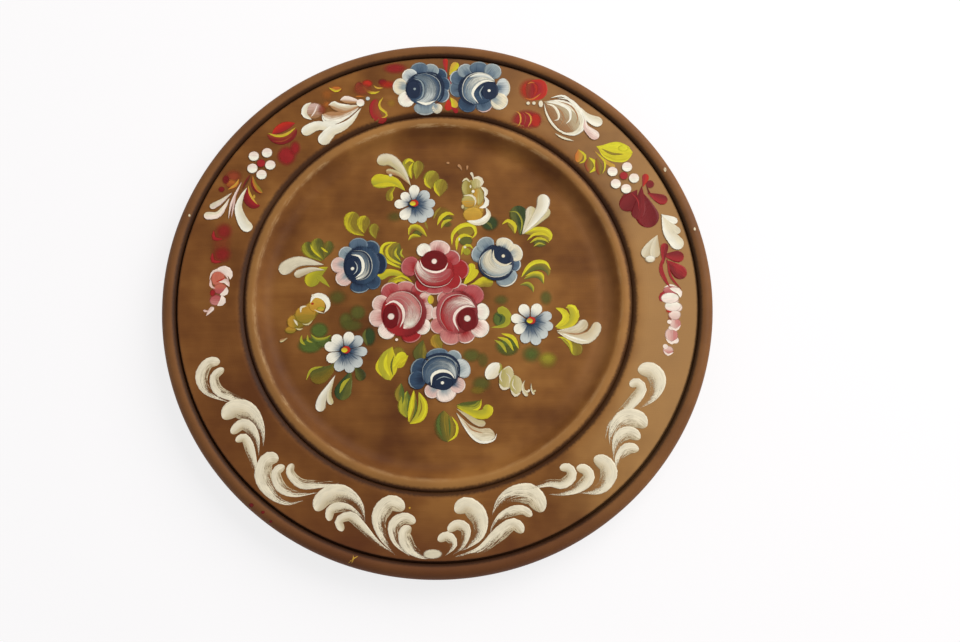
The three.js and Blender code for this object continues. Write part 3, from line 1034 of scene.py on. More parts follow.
def scroll(width, *path):
    """A comma of the border. Its paint is full on the outside of the bend and thinner on the inside."""
    start, middle, end = (np.array(path[k:k + 2]) for k in (0, len(path) // 4 * 2, len(path) - 2))
    first, second = middle - start, end - middle
    turns_left = first[0] * second[1] - first[1] * second[0] > 0
    if turns_left:
        paints, bias, opacity = "sand cream", 0.36, (0.35, 1)
    else:
        paints, bias, opacity = "cream sand", 0.64, (1, 0.35)
    return stroke(scroll_widths, paints, width * 1.2, *path,
                  streak=0.8, dry=0.85, soft=0.12, bias=bias, opacity=opacity)


def wash(paints, width, height, x, y, opacity=0.75, soft=0.6):
    """A thin oval of colour under other strokes."""
    return dab(paints, width, height, x, y, soft=soft, opacity=(opacity, opacity), crown=0.3)


# Painting, in the order in which it was set down

leaves_top = [
    leaf("olive lime", 8.5, -16, 79.5, -16.5, 74, -14.8, 67.3), crescent("leaf", 1.8, -18.8, 76, -16.5, 78.6, -13.5, 77),
    leaf("olive lime", 7.5, -11, 78, -11.5, 73, -12.5, 67, soft=0.4), crescent("leaf", 1.8, -14.2, 77, -16, 73, -15, 67.5),
    leaf("olive lime", 10.5, -1.5, 71.5, -4, 67.5, -4.5, 61.5, soft=0.35),
    leaf("olive lime", 9.5, 2.5, 67, 0.8, 62.5, 0.5, 57, soft=0.35),
    crescent("leaf", 1.5, -7.6, 68.5, -7.2, 64.5, -4.3, 61.5), crescent("leaf", 1.5, -2.3, 65, -2, 61, 0.5, 57),
    comma("leaf lime", 9, -37, 66.5, -30, 66, -24, 65.5, -18.3, 60.5, streak=0.9),
    crescent("leaf", 2.6, -36, 63.3, -28, 64.2, -22, 63, dry=0.3),
    leaf("olive leaf", 4.8, -26.5, 54.5, -27, 59, -23.5, 63.5),
    wash("green", 11, 8, -24, 45.5, 0.5, 0.9),
    wash("green", 7, 5, -11.5, 36, 0.9),
    crescent("leaf olive", 3.4, -16.3, 34.8, -15, 39.3, -10.8, 39, -6.5, 34),
    crescent("leaf olive", 2.4, -16.5, 32, -14, 34.6, -9.7, 34),
    crescent("olive", 1.2, -8, 43.5, -6.8, 40.5, -6, 38),
    wash("olive", 10, 9, 2, 47, 0.5), wash("green", 8, 4, 4.5, 44.5, 0.8), wash("green", 6, 4, 4.5, 41, 0.6),
    crescent("olive", 1.4, -3, 43.8, -1.5, 48, 1.2, 51),
    crescent("leaf", 2.5, -0.9, 40.5, 1.2, 45, 4.8, 47.4, 8.4, 46.2),
    crescent("leaf lime", 2, 1.2, 38.8, 3, 42.3, 7, 43.6),
    wash("olive", 11, 7, 14.5, 37, 0.95, 0.3), wash("green", 8, 6, 14.5, 31.5, 0.95, 0.3),
    wash("lime", 5, 5, 15, 25.5, 0.8, 0.4),
    crescent("leaf sun", 2.6, 7, 29, 7.5, 35.5, 12, 40, 18, 40.5, 20, 36, 17.5, 32.5),
    crescent("leaf", 2.2, 9.5, 26, 10, 32, 13.5, 34.8, 18.5, 33.5),
    crescent("leaf lime", 1.9, 12, 23.5, 13.5, 28, 16.5, 29, 18.5, 26.5),
    dab("ivory", 1.2, 2.2, 11, 32.5, soft=0.5), dot("ivory", 0.9, 14, 28, soft=0.5),
]

leaves_left = [
    patch("olive green", (-22.5, 31, -30, 28, -30.5, 22.5, -25.5, 18.5, -18, 15.5),
          (-20, 30, -18.5, 27, -19, 23.5, -19.5, 20, -17, 16), soft=0.3, streak=0.9),
    crescent("leaf sun", 2.2, -22.5, 31, -29, 30, -31, 25.5, -28, 20.5, -20, 16.5),
    crescent("leaf", 1.8, -24.5, 31, -28, 27, -26.5, 22, -19, 18),
    crescent("leaf lime", 1.5, -22.5, 28, -23.5, 24.5, -20.5, 20.5),
    crescent("lime", 1.2, -19.5, 27.5, -20.5, 24.5, -18.5, 22),
    comma("olive leaf", 4.5, -27, 7.5, -21.5, 10.5, -15, 7.5, streak=0.8),
    comma("leaf lime", 5, -32.5, 11, -27, 14, -20.5, 13, -14, 8.5, streak=0.8),
    crescent("leaf", 1.3, -24.5, 10.5, -19, 12, -14.5, 8.5),
    leaf("olive leaf", 9.5, -45, 48, -47.5, 43, -46, 38.5, -40.3, 34.8),
    leaf("olive leaf", 8.5, -39.5, 46, -41, 41.5, -40.3, 36),
    leaf("olive lime", 7, -34, 41.5, -35.3, 37.5, -34, 33, soft=0.5),
    leaf("green lime", 9, -71, 31.5, -69.5, 26.5, -62.5, 20.5, soft=0.5),
    leaf("green lime", 9.5, -65, 33.5, -65, 28, -61.5, 21, soft=0.5),
    leaf("green olive", 8, -59, 32, -59.5, 27.5, -61.5, 22, soft=0.7),
    crescent("leaf", 1.2, -69.3, 30, -67, 26, -63, 22.5, dry=0.4),
    crescent("leaf", 1.2, -63.5, 28.5, -61, 26.3, -59.5, 25.5, dry=0.4),
    leaf("leaf lime", 9.5, -69, 6.5, -67, 11.5, -64, 14.5, -59.3, 17.3), leaf("lime", 3.6, -65, 12.5, -61.5, 9.5, -58, 6),
    wash("green", 12, 10, -54, 0.5, 0.6, 0.8), wash("green", 10, 10, -43, -8, 0.75), wash("green", 9, 10, -49, -12, 0.75),
    wash("green", 14, 8, -46, -15, 0.6), wash("forest", 7.5, 12, -36.5, -21, 0.85, 0.5),
    crescent("green", 2, -38.5, -17, -39.5, -21, -37.5, -26),
    wash("moss", 11, 10, -63, -17.5, 0.9, 0.5), wash("moss", 15, 10, -67.5, -25.5, 0.9, 0.5),
    wash("moss", 12, 7, -60, -24, 0.8, 0.6),
    crescent("lime moss", 2.6, -67.5, -19.5, -64.5, -22.5, -60, -22.3, -56.5, -20),
    crescent("lime", 1.6, -72, -20, -72.3, -23, -70, -25.5),
    crescent("lime", 1.3, -69, -19.8, -68.8, -22.8, -66.3, -24),
    comma("green olive", 10, -67, -42.5, -62, -41.5, -57, -38.5, -54.5, -35, opacity=(0.85, 0.6)),
    crescent("lime", 1.5, -69, -44, -66.5, -38.5, -60.5, -36.8, dry=0.4),
    comma("forest green", 9.5, -51, -54.5, -49.5, -49, -47.5, -44, -46, -39),
    crescent("lime", 2.2, -51.5, -51, -49.5, -46, -46.3, -43, dry=0.3),
    comma("green forest", 6, -40, -44.5, -41.5, -40, -44.5, -36.5, opacity=(0.8, 0.6)),
]

leaves_bottom = [
    wash("olive", 9, 9, -21.5, -30.5, 0.85, 0.4), leaf("leaf", 6.5, -22.5, -37.5, -20, -34.5, -16, -31.3),
    patch("lime leaf", (-25, -26.5, -30.5, -31, -33, -37, -30, -42.5, -25.5, -44.5),
          (-24, -26.5, -22, -32, -21, -38, -23, -42.5, -25, -44.5), soft=0.2, streak=1.0),
    comma("leaf sun", 6.5, -17, -31, -20, -32.5, -24, -38), crescent("sun", 2.2, -27, -30, -28, -36, -25.5, -42.5),
    crescent("leaf", 1.6, -31.5, -33, -32.5, -38, -29.5, -42.5),
    crescent("green", 1.2, -23.5, -31, -25, -36.5, -24, -42, soft=0.6),
    patch("olive moss", (-20.5, -46, -23.5, -51, -22, -56), (-19, -46, -17.5, -51, -18.5, -56), soft=0.4, streak=1.0),
    patch("lime moss", (-17, -50, -21, -55, -21.5, -60, -17.5, -64), (-16, -50, -13.5, -55, -13.5, -60, -16, -64),
          soft=0.35, streak=1.1),
    crescent("moss", 1.6, -19.5, -47, -18.5, -52, -19, -57, soft=0.7),
    crescent("moss", 1.4, -16.5, -50, -15.5, -55, -16.5, -61, soft=0.7),
    patch("leaf olive", (-13.5, -49.5, -15.5, -56, -16.5, -62, -16, -66.5),
          (-12.5, -50, -11.5, -55.5, -12, -61, -14.5, -66.5),
          soft=0.25, streak=1.1),
    crescent("leaf sun", 1.8, -13, -49.5, -13.5, -55.5, -14.5, -61, -16, -66),
    crescent("moss", 1.2, -12, -54, -12, -60, -14, -65, soft=0.6),
    patch("lime leaf", (-11, -50.5, -11, -56, -12, -61.5, -15.5, -67),
          (-10, -51, -6.5, -56.5, -6.5, -62, -9.5, -65.8, -15, -67.3),
          soft=0.2, streak=1.1),
    crescent("leaf sun", 1.8, -10, -51, -6.8, -56.5, -7, -62, -9.8, -65.8, -15, -67.3),
    crescent("olive", 0.9, -10, -54, -9, -59, -11, -64, soft=0.6),
    leaf("green olive", 9, -9.7, -34.5, -10, -29.5, -8.3, -23, soft=0.4),
    leaf("olive ochre", 8.5, -1, -20, -1.2, -24, 1.5, -28.5, soft=0.4),
    patch("green olive", (1, -60.5, -2.5, -65, -3, -71, 0.5, -75.5, 4.5, -76.8),
          (4, -60.5, 8.5, -66, 9.3, -71, 7.5, -75, 4.5, -76.8),
          soft=0.4, streak=1.0, opacity=(0.75, 0.95)),
    crescent("moss", 2.6, 0.5, -62, -0.5, -68, 1.5, -74, soft=0.7),
    crescent("olive", 1.0, 3, -61.5, 3, -68, 4, -74, soft=0.5),
    crescent("moss", 1.2, 5, -63, 5.5, -68.5, 5.5, -74, soft=0.6),
    crescent("leaf sun", 1.5, 6.5, -63.5, 9.3, -68.3, 8.6, -73.5, 4.5, -76.6),
    patch("moss lime", (9, -57.5, 12, -56, 17, -55.5, 21, -54.5), (9, -58, 14, -60.5, 19, -60.5, 22, -56.5),
          soft=0.3, streak=1.1, opacity=(0.7, 1)),
    crescent("leaf sun", 1.4, 22, -54.5, 21, -59, 16, -61, 9.5, -58.5),
    comma("leaf lime", 6.2, 25.5, -57.5, 24.5, -62, 18.5, -62.5, 9, -58.5, streak=1.0),
    wash("green", 12, 9, 17, -31.5, 0.8, 0.7), wash("green", 7, 10, 23, -34, 0.5),
    wash("green", 12, 10, 22, -46.5, 0.7, 0.7), wash("olive", 9, 5, 20, -50, 0.5),
]

leaves_right = [
    comma("leaf sun", 4.4, 17.5, 19, 17.2, 14, 13, 7, streak=0.6), comma("leaf", 3.2, 20.5, 15.5, 18, 11, 12.5, 6.5),
    comma("olive leaf", 5.5, 29, 8, 24, 8, 18, 6.5, 13, 5.5), crescent("leaf", 1.4, 28, 10, 24, 10.8, 19, 8.5),
    patch("olive green", (44, 11, 48, 17, 52.5, 20, 57.5, 19.3, 60, 15, 59, 11.5),
          (45, 11, 49, 13.5, 53, 15, 56.5, 14, 58, 11.5), soft=0.2, streak=0.9, bias=0.45),
    crescent("leaf sun", 2.4, 44, 11, 48, 17, 52.5, 19.6, 57.5, 19, 60, 15),
    patch("lime green", (45, 10.5, 51, 13.5, 55.5, 12.5, 56.5, 7.5), (46, 9.5, 50, 10.5, 53, 10, 55.5, 7), soft=0.3),
    crescent("leaf", 1.4, 46, 11.5, 51, 13.7, 55.5, 12.5, 56, 8),
    patch("lime green", (43, 7, 48, 8.6, 50.8, 6, 50.5, 2.5), (43.5, 6.5, 46.5, 6, 48.5, 4.5, 50, 2.5), soft=0.3),
    wash("green", 10, 7, 33, -1.5, 0.6, 0.8), wash("green", 8, 10, 57, -0.5, 0.7, 0.7),
    wash("moss", 9, 10, 32.5, -12, 0.95, 0.35),
    leaf("lime", 5, 31.2, -8.3, 34, -7.2, 36.9, -11, 34.8, -15.3, 27.3, -16.6, streak=0.8),
    crescent("forest", 1.6, 30, -9, 33, -11, 32, -14, soft=0.6),
    wash("moss", 15, 12, 36, -26.5, 0.9), wash("green", 11, 7, 36.5, -29, 0.7),
    crescent("leaf", 2.3, 32.8, -19.8, 39, -22, 42, -28.2), crescent("leaf lime", 2.2, 30.7, -21.8, 36, -23.8, 39.2, -29.3),
    crescent("lime", 2, 29.2, -23.3, 33, -25.6, 35.5, -30.3),
    wash("moss", 13, 12, 48.5, -31, 0.8, 0.9),
    dab("lime olive", 12, 11, 57, -34.5, soft=0.85, opacity=(0.85, 0.7)),
    patch("leaf lime", (67, -6, 70, -4, 73.5, -6, 74.5, -10, 72, -15, 68, -17.5, 62, -17.5),
          (67.5, -6, 69, -8, 69.5, -11, 68, -14, 62, -16.5), soft=0.2, streak=1.0),
    crescent("leaf sun", 4.2, 62, -6, 66, -8, 67.5, -11, 66, -14, 61.5, -16.5),
    crescent("sun", 1.6, 68, -4.6, 72, -5.5, 73.5, -9.5),
    leaf("lime olive", 8, 71.5, -32, 72, -27.5, 68, -24, 63.5, -21.8),
    crescent("leaf", 1.6, 62.5, -22, 67, -22.8, 69.5, -26, 70, -31),
    wash("forest", 11, 10, 27.5, 41.5, 0.85, 0.45), crescent("green", 1.6, 24.5, 42.5, 27.5, 41, 29, 38),
    leaf("forest green", 11.5, 42.5, 51.5, 43.5, 46, 44.8, 41, 44, 34.5),
    crescent("green lime", 1.3, 37.8, 48, 42.5, 47.8, 45.3, 42, 44, 35),
    leaf("olive", 6, 37.5, 42.5, 40, 40.5, 41.2, 35.3, soft=0.5),
    crescent("leaf", 2.4, 34.2, 40.8, 37.6, 43, 41.2, 40, 41.2, 35.5),
    patch("leaf olive", (45.5, 36, 51.5, 38.5, 58, 38.5, 61.5, 35, 60.5, 31.5), (46, 35, 51, 34, 55.5, 33, 58.5, 30.5),
          soft=0.2, streak=0.8),
    crescent("leaf sun", 1.8, 46, 35.5, 51.5, 38.3, 58, 38, 61, 35, 60.5, 32), wash("green", 8, 5, 54.5, 30, 0.9, 0.4),
    crescent("leaf", 1.7, 47.5, 31.5, 51.5, 35, 56.5, 35.3, 60.5, 33),
    crescent("leaf lime", 1.7, 49, 30, 53, 32.6, 57.5, 31.8, 59.5, 30),
    crescent("lime", 1.2, 51, 28, 54, 30, 57.5, 29),
]

feathers = [
    feather("ivory straw", 8, -34, 77.5, -27, 78.5, -20.5, 72.5, -15.3, 63),
    feather("straw tan", 4, -29, 72, -22, 70, -15.5, 63.5),
    dot("ivory", 1.2, -26.5, 69.5, soft=0.7),
    feather("ivory", 8.5, -84, 13.5, -81, 17.5, -74, 20.5, -61.5, 18.5),
    feather("ivory sand", 5, -77, 12.5, -72.5, 14.5, -67, 16, -61, 15.5),
    feather("white ivory", 6, -61.5, -60.5, -60.5, -54, -57, -47.5, -54, -41.5),
    feather("ivory straw", 3.6, -55.5, -57, -57, -51.5, -54.7, -44.5),
    feather("sand straw", 4, 24, -67.5, 19.5, -66.8, 14, -63, 9, -59.5),
    patch("ivory sand", (9, -62, 12.5, -68.5, 17.5, -74.5, 22, -77, 27.5, -76.5),
          (9, -61.5, 15.5, -67.5, 22, -70.2, 27.5, -69.8, 29.8, -72.5), streak=1.1, soft=0.15, dry=0.2),
    crescent("white", 1.6, 11, -66, 17, -74, 22, -77, 28, -76, 29.8, -72.5),
    crescent("tan", 1.0, 13, -66, 17, -70.5, 23, -72.5, soft=0.6),
    feather("straw ivory", 6.5, 60, 49.5, 55.5, 45, 45.5, 35),
    feather("straw ivory", 7, 50.5, 51, 49.5, 44, 45, 35),
    crescent("umber", 0.7, 57.5, 47, 54, 43.5, 50, 40.5, soft=0.5),
    feather("white ivory", 8, 57, 58, 56.5, 51, 52, 43.5, 45.3, 35.2),
    feather("sand ivory", 6.5, 77.8, -13, 75, -16.8, 70, -18.5, 62, -18.6),
    patch("sand ivory", (80.5, -13.5, 79.5, -17.5, 76.5, -20, 70, -20.3, 62, -19),
          (87.3, -14.5, 86, -19, 82, -24, 77.5, -25.5, 70, -23.3, 63, -19.5), streak=1.1, soft=0.2, dry=0.3),
    crescent("white", 1.2, 65, -20, 72, -22.8, 79, -24.5, dry=0.3),
    crescent("tan", 1.0, 66, -19.6, 73, -20.5, 79, -19, soft=0.6),
]

blossoms = [
    patch("celery ochre", (12.5, 66.5, 12.3, 60, 12.8, 52, 13, 43.5), (24, 66.5, 25, 59, 25.2, 51, 24.5, 43),
          soft=0.3, streak=1.2, opacity=(0.85, 0.95)),
    dab("gold ochre", 11.5, 9.5, 18.5, 46.5, soft=0.2, streak=1.0),
    dab("celery straw", 6.5, 7.5, 20.5, 64.3, soft=0.3, streak=1.0),
    crescent("ivory white", 4, 25.5, 50.5, 27, 46.5, 24, 42.8, 20, 41.8, 15, 42.8, dry=0.15),
    crescent("ivory", 2.2, 18.5, 67.5, 22, 67.8, 23.8, 65, 22.5, 62.5, dry=0.1),
    dab("ochre celery", 7, 12, 21.5, 57, soft=0.4, streak=1.2),
    crescent("ivory white", 2.4, 23, 62.5, 25.8, 60, 25, 56.5, dry=0.1),
    dab("celery olive", 6.5, 10.5, 15.3, 62, soft=0.3, streak=1.0),
    crescent("white", 2.8, 24.8, 57, 26.3, 54, 25, 51.3, 22, 50.3, dry=0.1),
    dab("celery ochre", 8.5, 8, 16.2, 54, soft=0.25, streak=1.0),
    crescent("straw ivory", 1.2, 12.7, 65.5, 15, 67.3, 17.3, 65), dab("straw", 2, 3, 13, 51, soft=0.5),
    crescent("ivory", 1.3, 13.5, 57.3, 17.5, 57.6, 20, 55, 19.5, 51.5), dot("white", 1.0, 18.7, 59.8, soft=0.4),
    dab("ivory", 1.2, 2.4, 17.3, 62.6, soft=0.5), comma("ivory", 1.5, 17.5, 71, 18.5, 69, 19, 66),
    comma("tan", 1.8, 10.5, 75.5, 11.8, 74, 12.7, 72, dry=0.3), comma("tan", 1.2, 15.7, 75, 15.6, 73.5, 15.3, 72, dry=0.3),
    dab("tan", 2.4, 1.8, 5, 76.5, soft=0.6),
    patch("gold olive", (-80.5, -17, -77.5, -9.5, -72, -4.5, -66.5, 0.5),
          (-77.5, -19.5, -70.5, -15.5, -65, -10.5, -59.5, -6), soft=0.35, streak=1.2, opacity=(0.9, 0.85)),
    dab("ochre olive", 7, 4.5, -78, -17.3, soft=0.4),
    dab("ochre olive", 8, 8, -76.5, -12.8, soft=0.3), dab("ochre olive", 12, 11, -70.5, -9, soft=0.2, streak=1.1),
    dab("gold ochre", 9.5, 9, -64.5, -3.8, soft=0.2, streak=1.0), dab("lime gold", 5, 3, -62.5, -6, soft=0.5),
    dab("scarlet", 2, 1.6, -67, -3, soft=0.7), crescent("ivory", 0.9, -66, -6.2, -63.5, -7.5, -60.5, -8.3, soft=0.5),
    crescent("white", 3.4, -68, -2.5, -66.5, 0.8, -63.5, 1.5, -60, -0.5, -58.6, -4.5, -60.5, -8, dry=0.1),
    dot("ivory", 0.7, -67, 1.6, soft=0.4), crescent("ivory", 1.3, -73, -8, -72.8, -5, -70, -4.3),
    crescent("straw", 1.0, -66.5, -12, -69, -14.3, -72, -14), crescent("ivory", 1.2, -76.7, -11.5, -75.5, -12.8, -74.3, -15),
    crescent("straw", 1.0, -75.5, -16.3, -73.5, -17, -71.5, -16.5),
    comma("tan straw", 2, -83.5, -23.3, -81.5, -22.5, -79.5, -21.5),
    patch("white ivory", (24.5, -43.5, 24, -40, 26.5, -36, 31.5, -35), (26, -45.2, 29.5, -44, 32, -41, 33.3, -37.5),
          streak=0.7, soft=0.15),
    crescent("lime", 1.8, 31.5, -35.5, 32.6, -38, 31, -41.5, soft=0.6, opacity=(0.7, 0.7)),
    patch("celery straw", (32.5, -38.5, 31.3, -43, 31, -47.5, 33.5, -49.5), (37.5, -37.5, 39.5, -41.5, 39, -46, 35.5, -49.5),
          streak=1.2, soft=0.15),
    crescent("ivory", 1.2, 32.8, -39.5, 31.8, -43, 33, -46, soft=0.5),
    crescent("ivory", 1.6, 31.2, -46.5, 33.3, -49.3, 37, -48.8),
    crescent("ivory straw", 1.2, 33.5, -39.5, 36.5, -37.8, 39, -40.5),
    crescent("ivory", 1.0, 35, -41, 37, -43.5, 36.5, -47, soft=0.5),
    patch("celery straw", (38.3, -42.5, 36.8, -47, 37.3, -51.5, 39.5, -53), (40.5, -42, 43.3, -45, 43.3, -49, 41.5, -52.8),
          streak=1.2, soft=0.15),
    crescent("ivory", 1.5, 37.2, -50, 39.6, -53, 42.5, -51.5),
    crescent("ivory", 0.9, 39, -44, 38.3, -47.5, 40, -50.5, soft=0.5),
    comma("ivory straw", 2.4, 46, -53.3, 44, -50.5, 43.7, -47.5, 44.8, -45),
    comma("ivory", 1.4, 47.3, -50, 45.8, -51, 44.5, -50),
    comma("ivory straw", 1.4, 49.5, -52.5, 48.2, -50, 48, -46.5), comma("straw", 1.1, 50.3, -50.3, 49, -51, 48.3, -50.5),
]

daisies = (
    daisy(-14, 52.7, (6, 7.5, -13.5, 60), (5.5, 7.5, -8, 57.5), (8, 5.5, -6, 53), (7.5, 6, -6.2, 48), (6, 7, -9.5, 45.2),
          (6, 7, -14, 45), (6, 7, -18.3, 46.8), (7, 5.5, -20.7, 52.7), (5.5, 5.5, -18.3, 57))
    + daisy(-49.3, -28.5, (6, 6.5, -53.5, -22.7), (7.5, 5.5, -56.3, -26.5), (7.5, 5.5, -55.5, -32), (6, 7, -51.8, -36.2),
            (5.5, 8, -47, -36.5), (5.5, 7.5, -43, -34.5), (8, 5.5, -41.5, -29), (7, 6, -43, -23.5), (6, 7, -47.5, -21.8))
    + daisy(48.2, -13.4, (6, 7, 45.3, -7.3), (6, 7, 51.7, -7), (8, 5.5, 56, -11), (8.5, 5.2, 56.3, -15.7),
            (7.5, 6, 54.3, -19.7), (6, 7.5, 50.8, -22.7), (6, 7.5, 45.8, -21.7), (6.5, 6, 42.5, -17.3), (7, 5.5, 41.5, -12))
)

rose_top = petals(
    (-2.5, 14), ("red red pink", 13, 12, 10.3, 15.3), ("red rose blush", 8.5, 9.5, 7.2, 22),
    ("red rose blush", 12, 7, -2.5, 4.8), ("red rose pink", 8, 7, 4.6, 5.6), ("red red blush", 9, 7, -9, 6.8),
    ("red red blush", 9, 9, 7.9, 8.8), ("red rose pink", 10.5, 11.5, -15.4, 17.2),
    ("rose blush petal", 12, 9, 0.3, 27.6), ("petal white white", 8, 8, -8.1, 26.4),
) + cup(
    (22, 21, -2.6, 14.6), (14.6, 12.6, -2.4, 20.3), (-2.5, 20, 1.7),
    (-10.3, 21.1, -8.3, 16.3, -2.4, 13.9, 2.8, 15.3, 5, 19.4),
    (-12.4, 19.5, -12.6, 13.5, -8.1, 7, -1.5, 5.6, 4.5, 7.2, 8, 11.5), "red wine",
    "rose red", "petal blush", (0.95, 0.0), turn=0.42,
)

rose_left = petals(
    (-19, -9), ("rose pink blush", 11, 8.5, -17.5, 5.2), ("red rose pink", 10, 8, -10.4, 3.6),
    ("red rose blush", 11, 9, -26, 4), ("red blush petal", 8, 10, -6.4, -7.6), ("red blush petal", 7, 8, -7, -0.6),
    ("rose blush petal", 9.5, 10, -31, -3.2), ("pink blush petal", 9.5, 10, -32.6, -11),
    ("wine red pink", 11.5, 9.5, -14.5, -20), ("red petal white", 8, 9.5, -8.5, -16),
    ("blush petal white", 10.5, 8.5, -27.6, -18),
) + [dot("petal", 0.8, -22.2, -22.8)] + cup(
    (26, 26.5, -18.6, -8.6), (9.8, 13.6, -25.3, -10.2), (-25.3, -10.3, 2.0),
    (-28.6, -4.2, -24, -2, -19.6, -5.3, -18.6, -11, -20.6, -16.3),
    (-27.5, -0.8, -22, 3, -15.5, 2.4, -10.2, -3, -9.4, -9, -12, -14.5, -16.5, -17.4), "red wine",
    "rose pink", "blush petal", (0.05, 1.0), 1.9, turn=0.62,
) + [crescent("rose pink", 2.0, -22.5, -4.6, -20.4, -9.5, -22, -15.6, soft=0.7, streak=0.9, opacity=(0.85, 0.7)),
     crescent("blush petal", 6, -12.5, -4, -12, -10, -15.5, -15.8, flow=-1, soft=0.8, streak=0.9, opacity=(0.3, 1)),
     dab("white blush", 8.5, 9.5, -15.4, -12.4, flow=-1, soft=0.6, opacity=(0.95, 0.3))]

rose_right = petals(
    (10, -9), ("rose pink blush", 9, 8, 3, -0.4), ("red rose blush", 9, 8, 12, 4), ("red rose pink", 12.5, 11, 18.3, 1.6),
    ("rose blush petal", 7, 8, -1, -8.8), ("rose pink blush", 8.5, 9, -0.6, -15.6),
    ("rose pink blush", 11, 9.5, 5.7, -21.4), ("red pink petal", 10, 8, 14.4, -21.2),
    ("pink petal white", 11, 10, 21.6, -17), ("petal white white", 8, 9.5, 23, -8),
) + cup(
    (24, 24.5, 9.6, -8.2), (12.4, 12.8, 15.2, -12.3), (15, -11.6, 2.0),
    (19.6, -5.6, 14, -5, 9.4, -8, 8, -12.6, 10.6, -18.6),
    (19, -5, 16, -0.4, 10.2, 1.6, 4.2, -0.2, 1, -5.6, 0.8, -12, 4.6, -18.4), "rose wine",
    "rose red", "petal pink", (1.0, 0.05), 1.8, turn=0.5,
) + [
    crescent("petal pink", 4, 18, -3.8, 14.5, -1.6, 10, -0.6, 6, -1.8, flow=-1, soft=0.7, streak=0.9,
             opacity=(1, 0.3)),
    dab("leaf gold", 3.8, 5.6, -4.3, -1.2, soft=0.3),
]

blue_roses = petals(
    (-43, 18), ("navy navy slate", 9, 12, -32, 19), ("navy blue mist", 11, 8, -42, 6.4), ("navy blue slate", 9, 8, -35, 8.6),
    ("navy blue mist", 10, 9, -36.3, 27.6), ("blue slate mist", 10.5, 9, -43.3, 29.4), ("slate mist pearl", 9, 8, -49.8, 24.6),
    ("mist blush petal", 9, 9, -53.6, 18.3), ("mist blush petal", 10, 8.5, -50.8, 11),
) + cup(
    (21, 22.5, -41.4, 18), (8.6, 11, -46.6, 17.2), (-46.2, 16.2, 1.1),
    (-47.2, 24, -42.6, 23, -40.6, 19, -41, 14.4, -44.6, 11),
    (-46.5, 26.2, -40, 25.8, -36.4, 21.6, -35.8, 15.6, -38.5, 11, -43.8, 9.4), "navy blue",
    "slate navy", "mist white", (0.1, 0.95), 1.9, "white", "navy", turn=0.72,
) + [crescent("pearl", 0.7, -45.4, 20.4, -43.8, 18.2, -43.8, 15.2, -45.6, 12.8, soft=0.5)] + petals(
    (31, 20), ("blue slate pearl", 8, 8.5, 40.3, 18), ("slate mist white", 13, 9, 36.2, 10.6),
    ("slate mist pearl", 8.5, 11, 21.8, 24.4), ("slate mist pearl", 11, 8.5, 25, 29.2),
    ("mist ivory white", 8.5, 11, 40.8, 24.7), ("mist ivory white", 11, 8, 35.6, 29),
) + cup(
    (20.5, 20.5, 30.8, 19), (8.6, 9, 34.9, 22.7), (34.6, 22.8, 1.1),
    (29.4, 26.4, 29.4, 21.6, 32.4, 18.4, 36, 17.6, 39.2, 19.4),
    (26.8, 26.6, 22, 21, 22.6, 15, 28, 11.4, 34.4, 11.8, 39, 15.6), "navy",
    "pearl mist", "ivory white", (0.9, 0.45), 1.9, "ivory", "navy", turn=0.55,
) + [crescent("navy", 1.7, 20.8, 21, 22.6, 14.4, 28.2, 10.2, 35.6, 10.6, 40.6, 15.6, soft=0.4),
     crescent("navy", 1.0, 26, 27.4, 29, 28.8, 32, 27.4, soft=0.4)] + petals(
    (1, -43), ("blue slate mist", 12, 7, -1, -31), ("slate mist pearl", 8.5, 8.5, 7.8, -32.6),
    ("mist pearl pearl", 8.5, 11, 12.2, -38.4), ("navy blue mist", 10, 12, -10, -38.4),
    ("navy blue mist", 10, 10, -11.4, -44.4), ("mist blush petal", 8, 8.5, -3.6, -50.2),
    ("mist petal petal", 11, 8.5, 3.6, -52), ("slate blush petal", 8.5, 8.5, 9.8, -47.4),
) + cup(
    (20, 18.5, 1, -41), (10.4, 8.2, 2.2, -46.2), (1.8, -46, 1.0),
    (-4, -47.4, -3.4, -42, 1.2, -39.7, 5.8, -40.8, 8.2, -44),
    (-8, -45.4, -8.4, -38, -4, -32.8, 2, -31.8, 7.6, -34.4, 9.4, -39.6, 9.2, -44), "navy",
    "slate blue", "mist pearl", (0.05, 0.9), 2.0, "white", "navy", turn=0.62,
) + [crescent("navy", 1.8, -9, -37, -6.6, -33, -0.3, -30.9, 6.4, -32, 10.4, -36.8, 10.6, -44, soft=0.4),
     crescent("mist", 0.7, -1.6, -44.6, 2.4, -42.8, 6.6, -44, soft=0.5)]

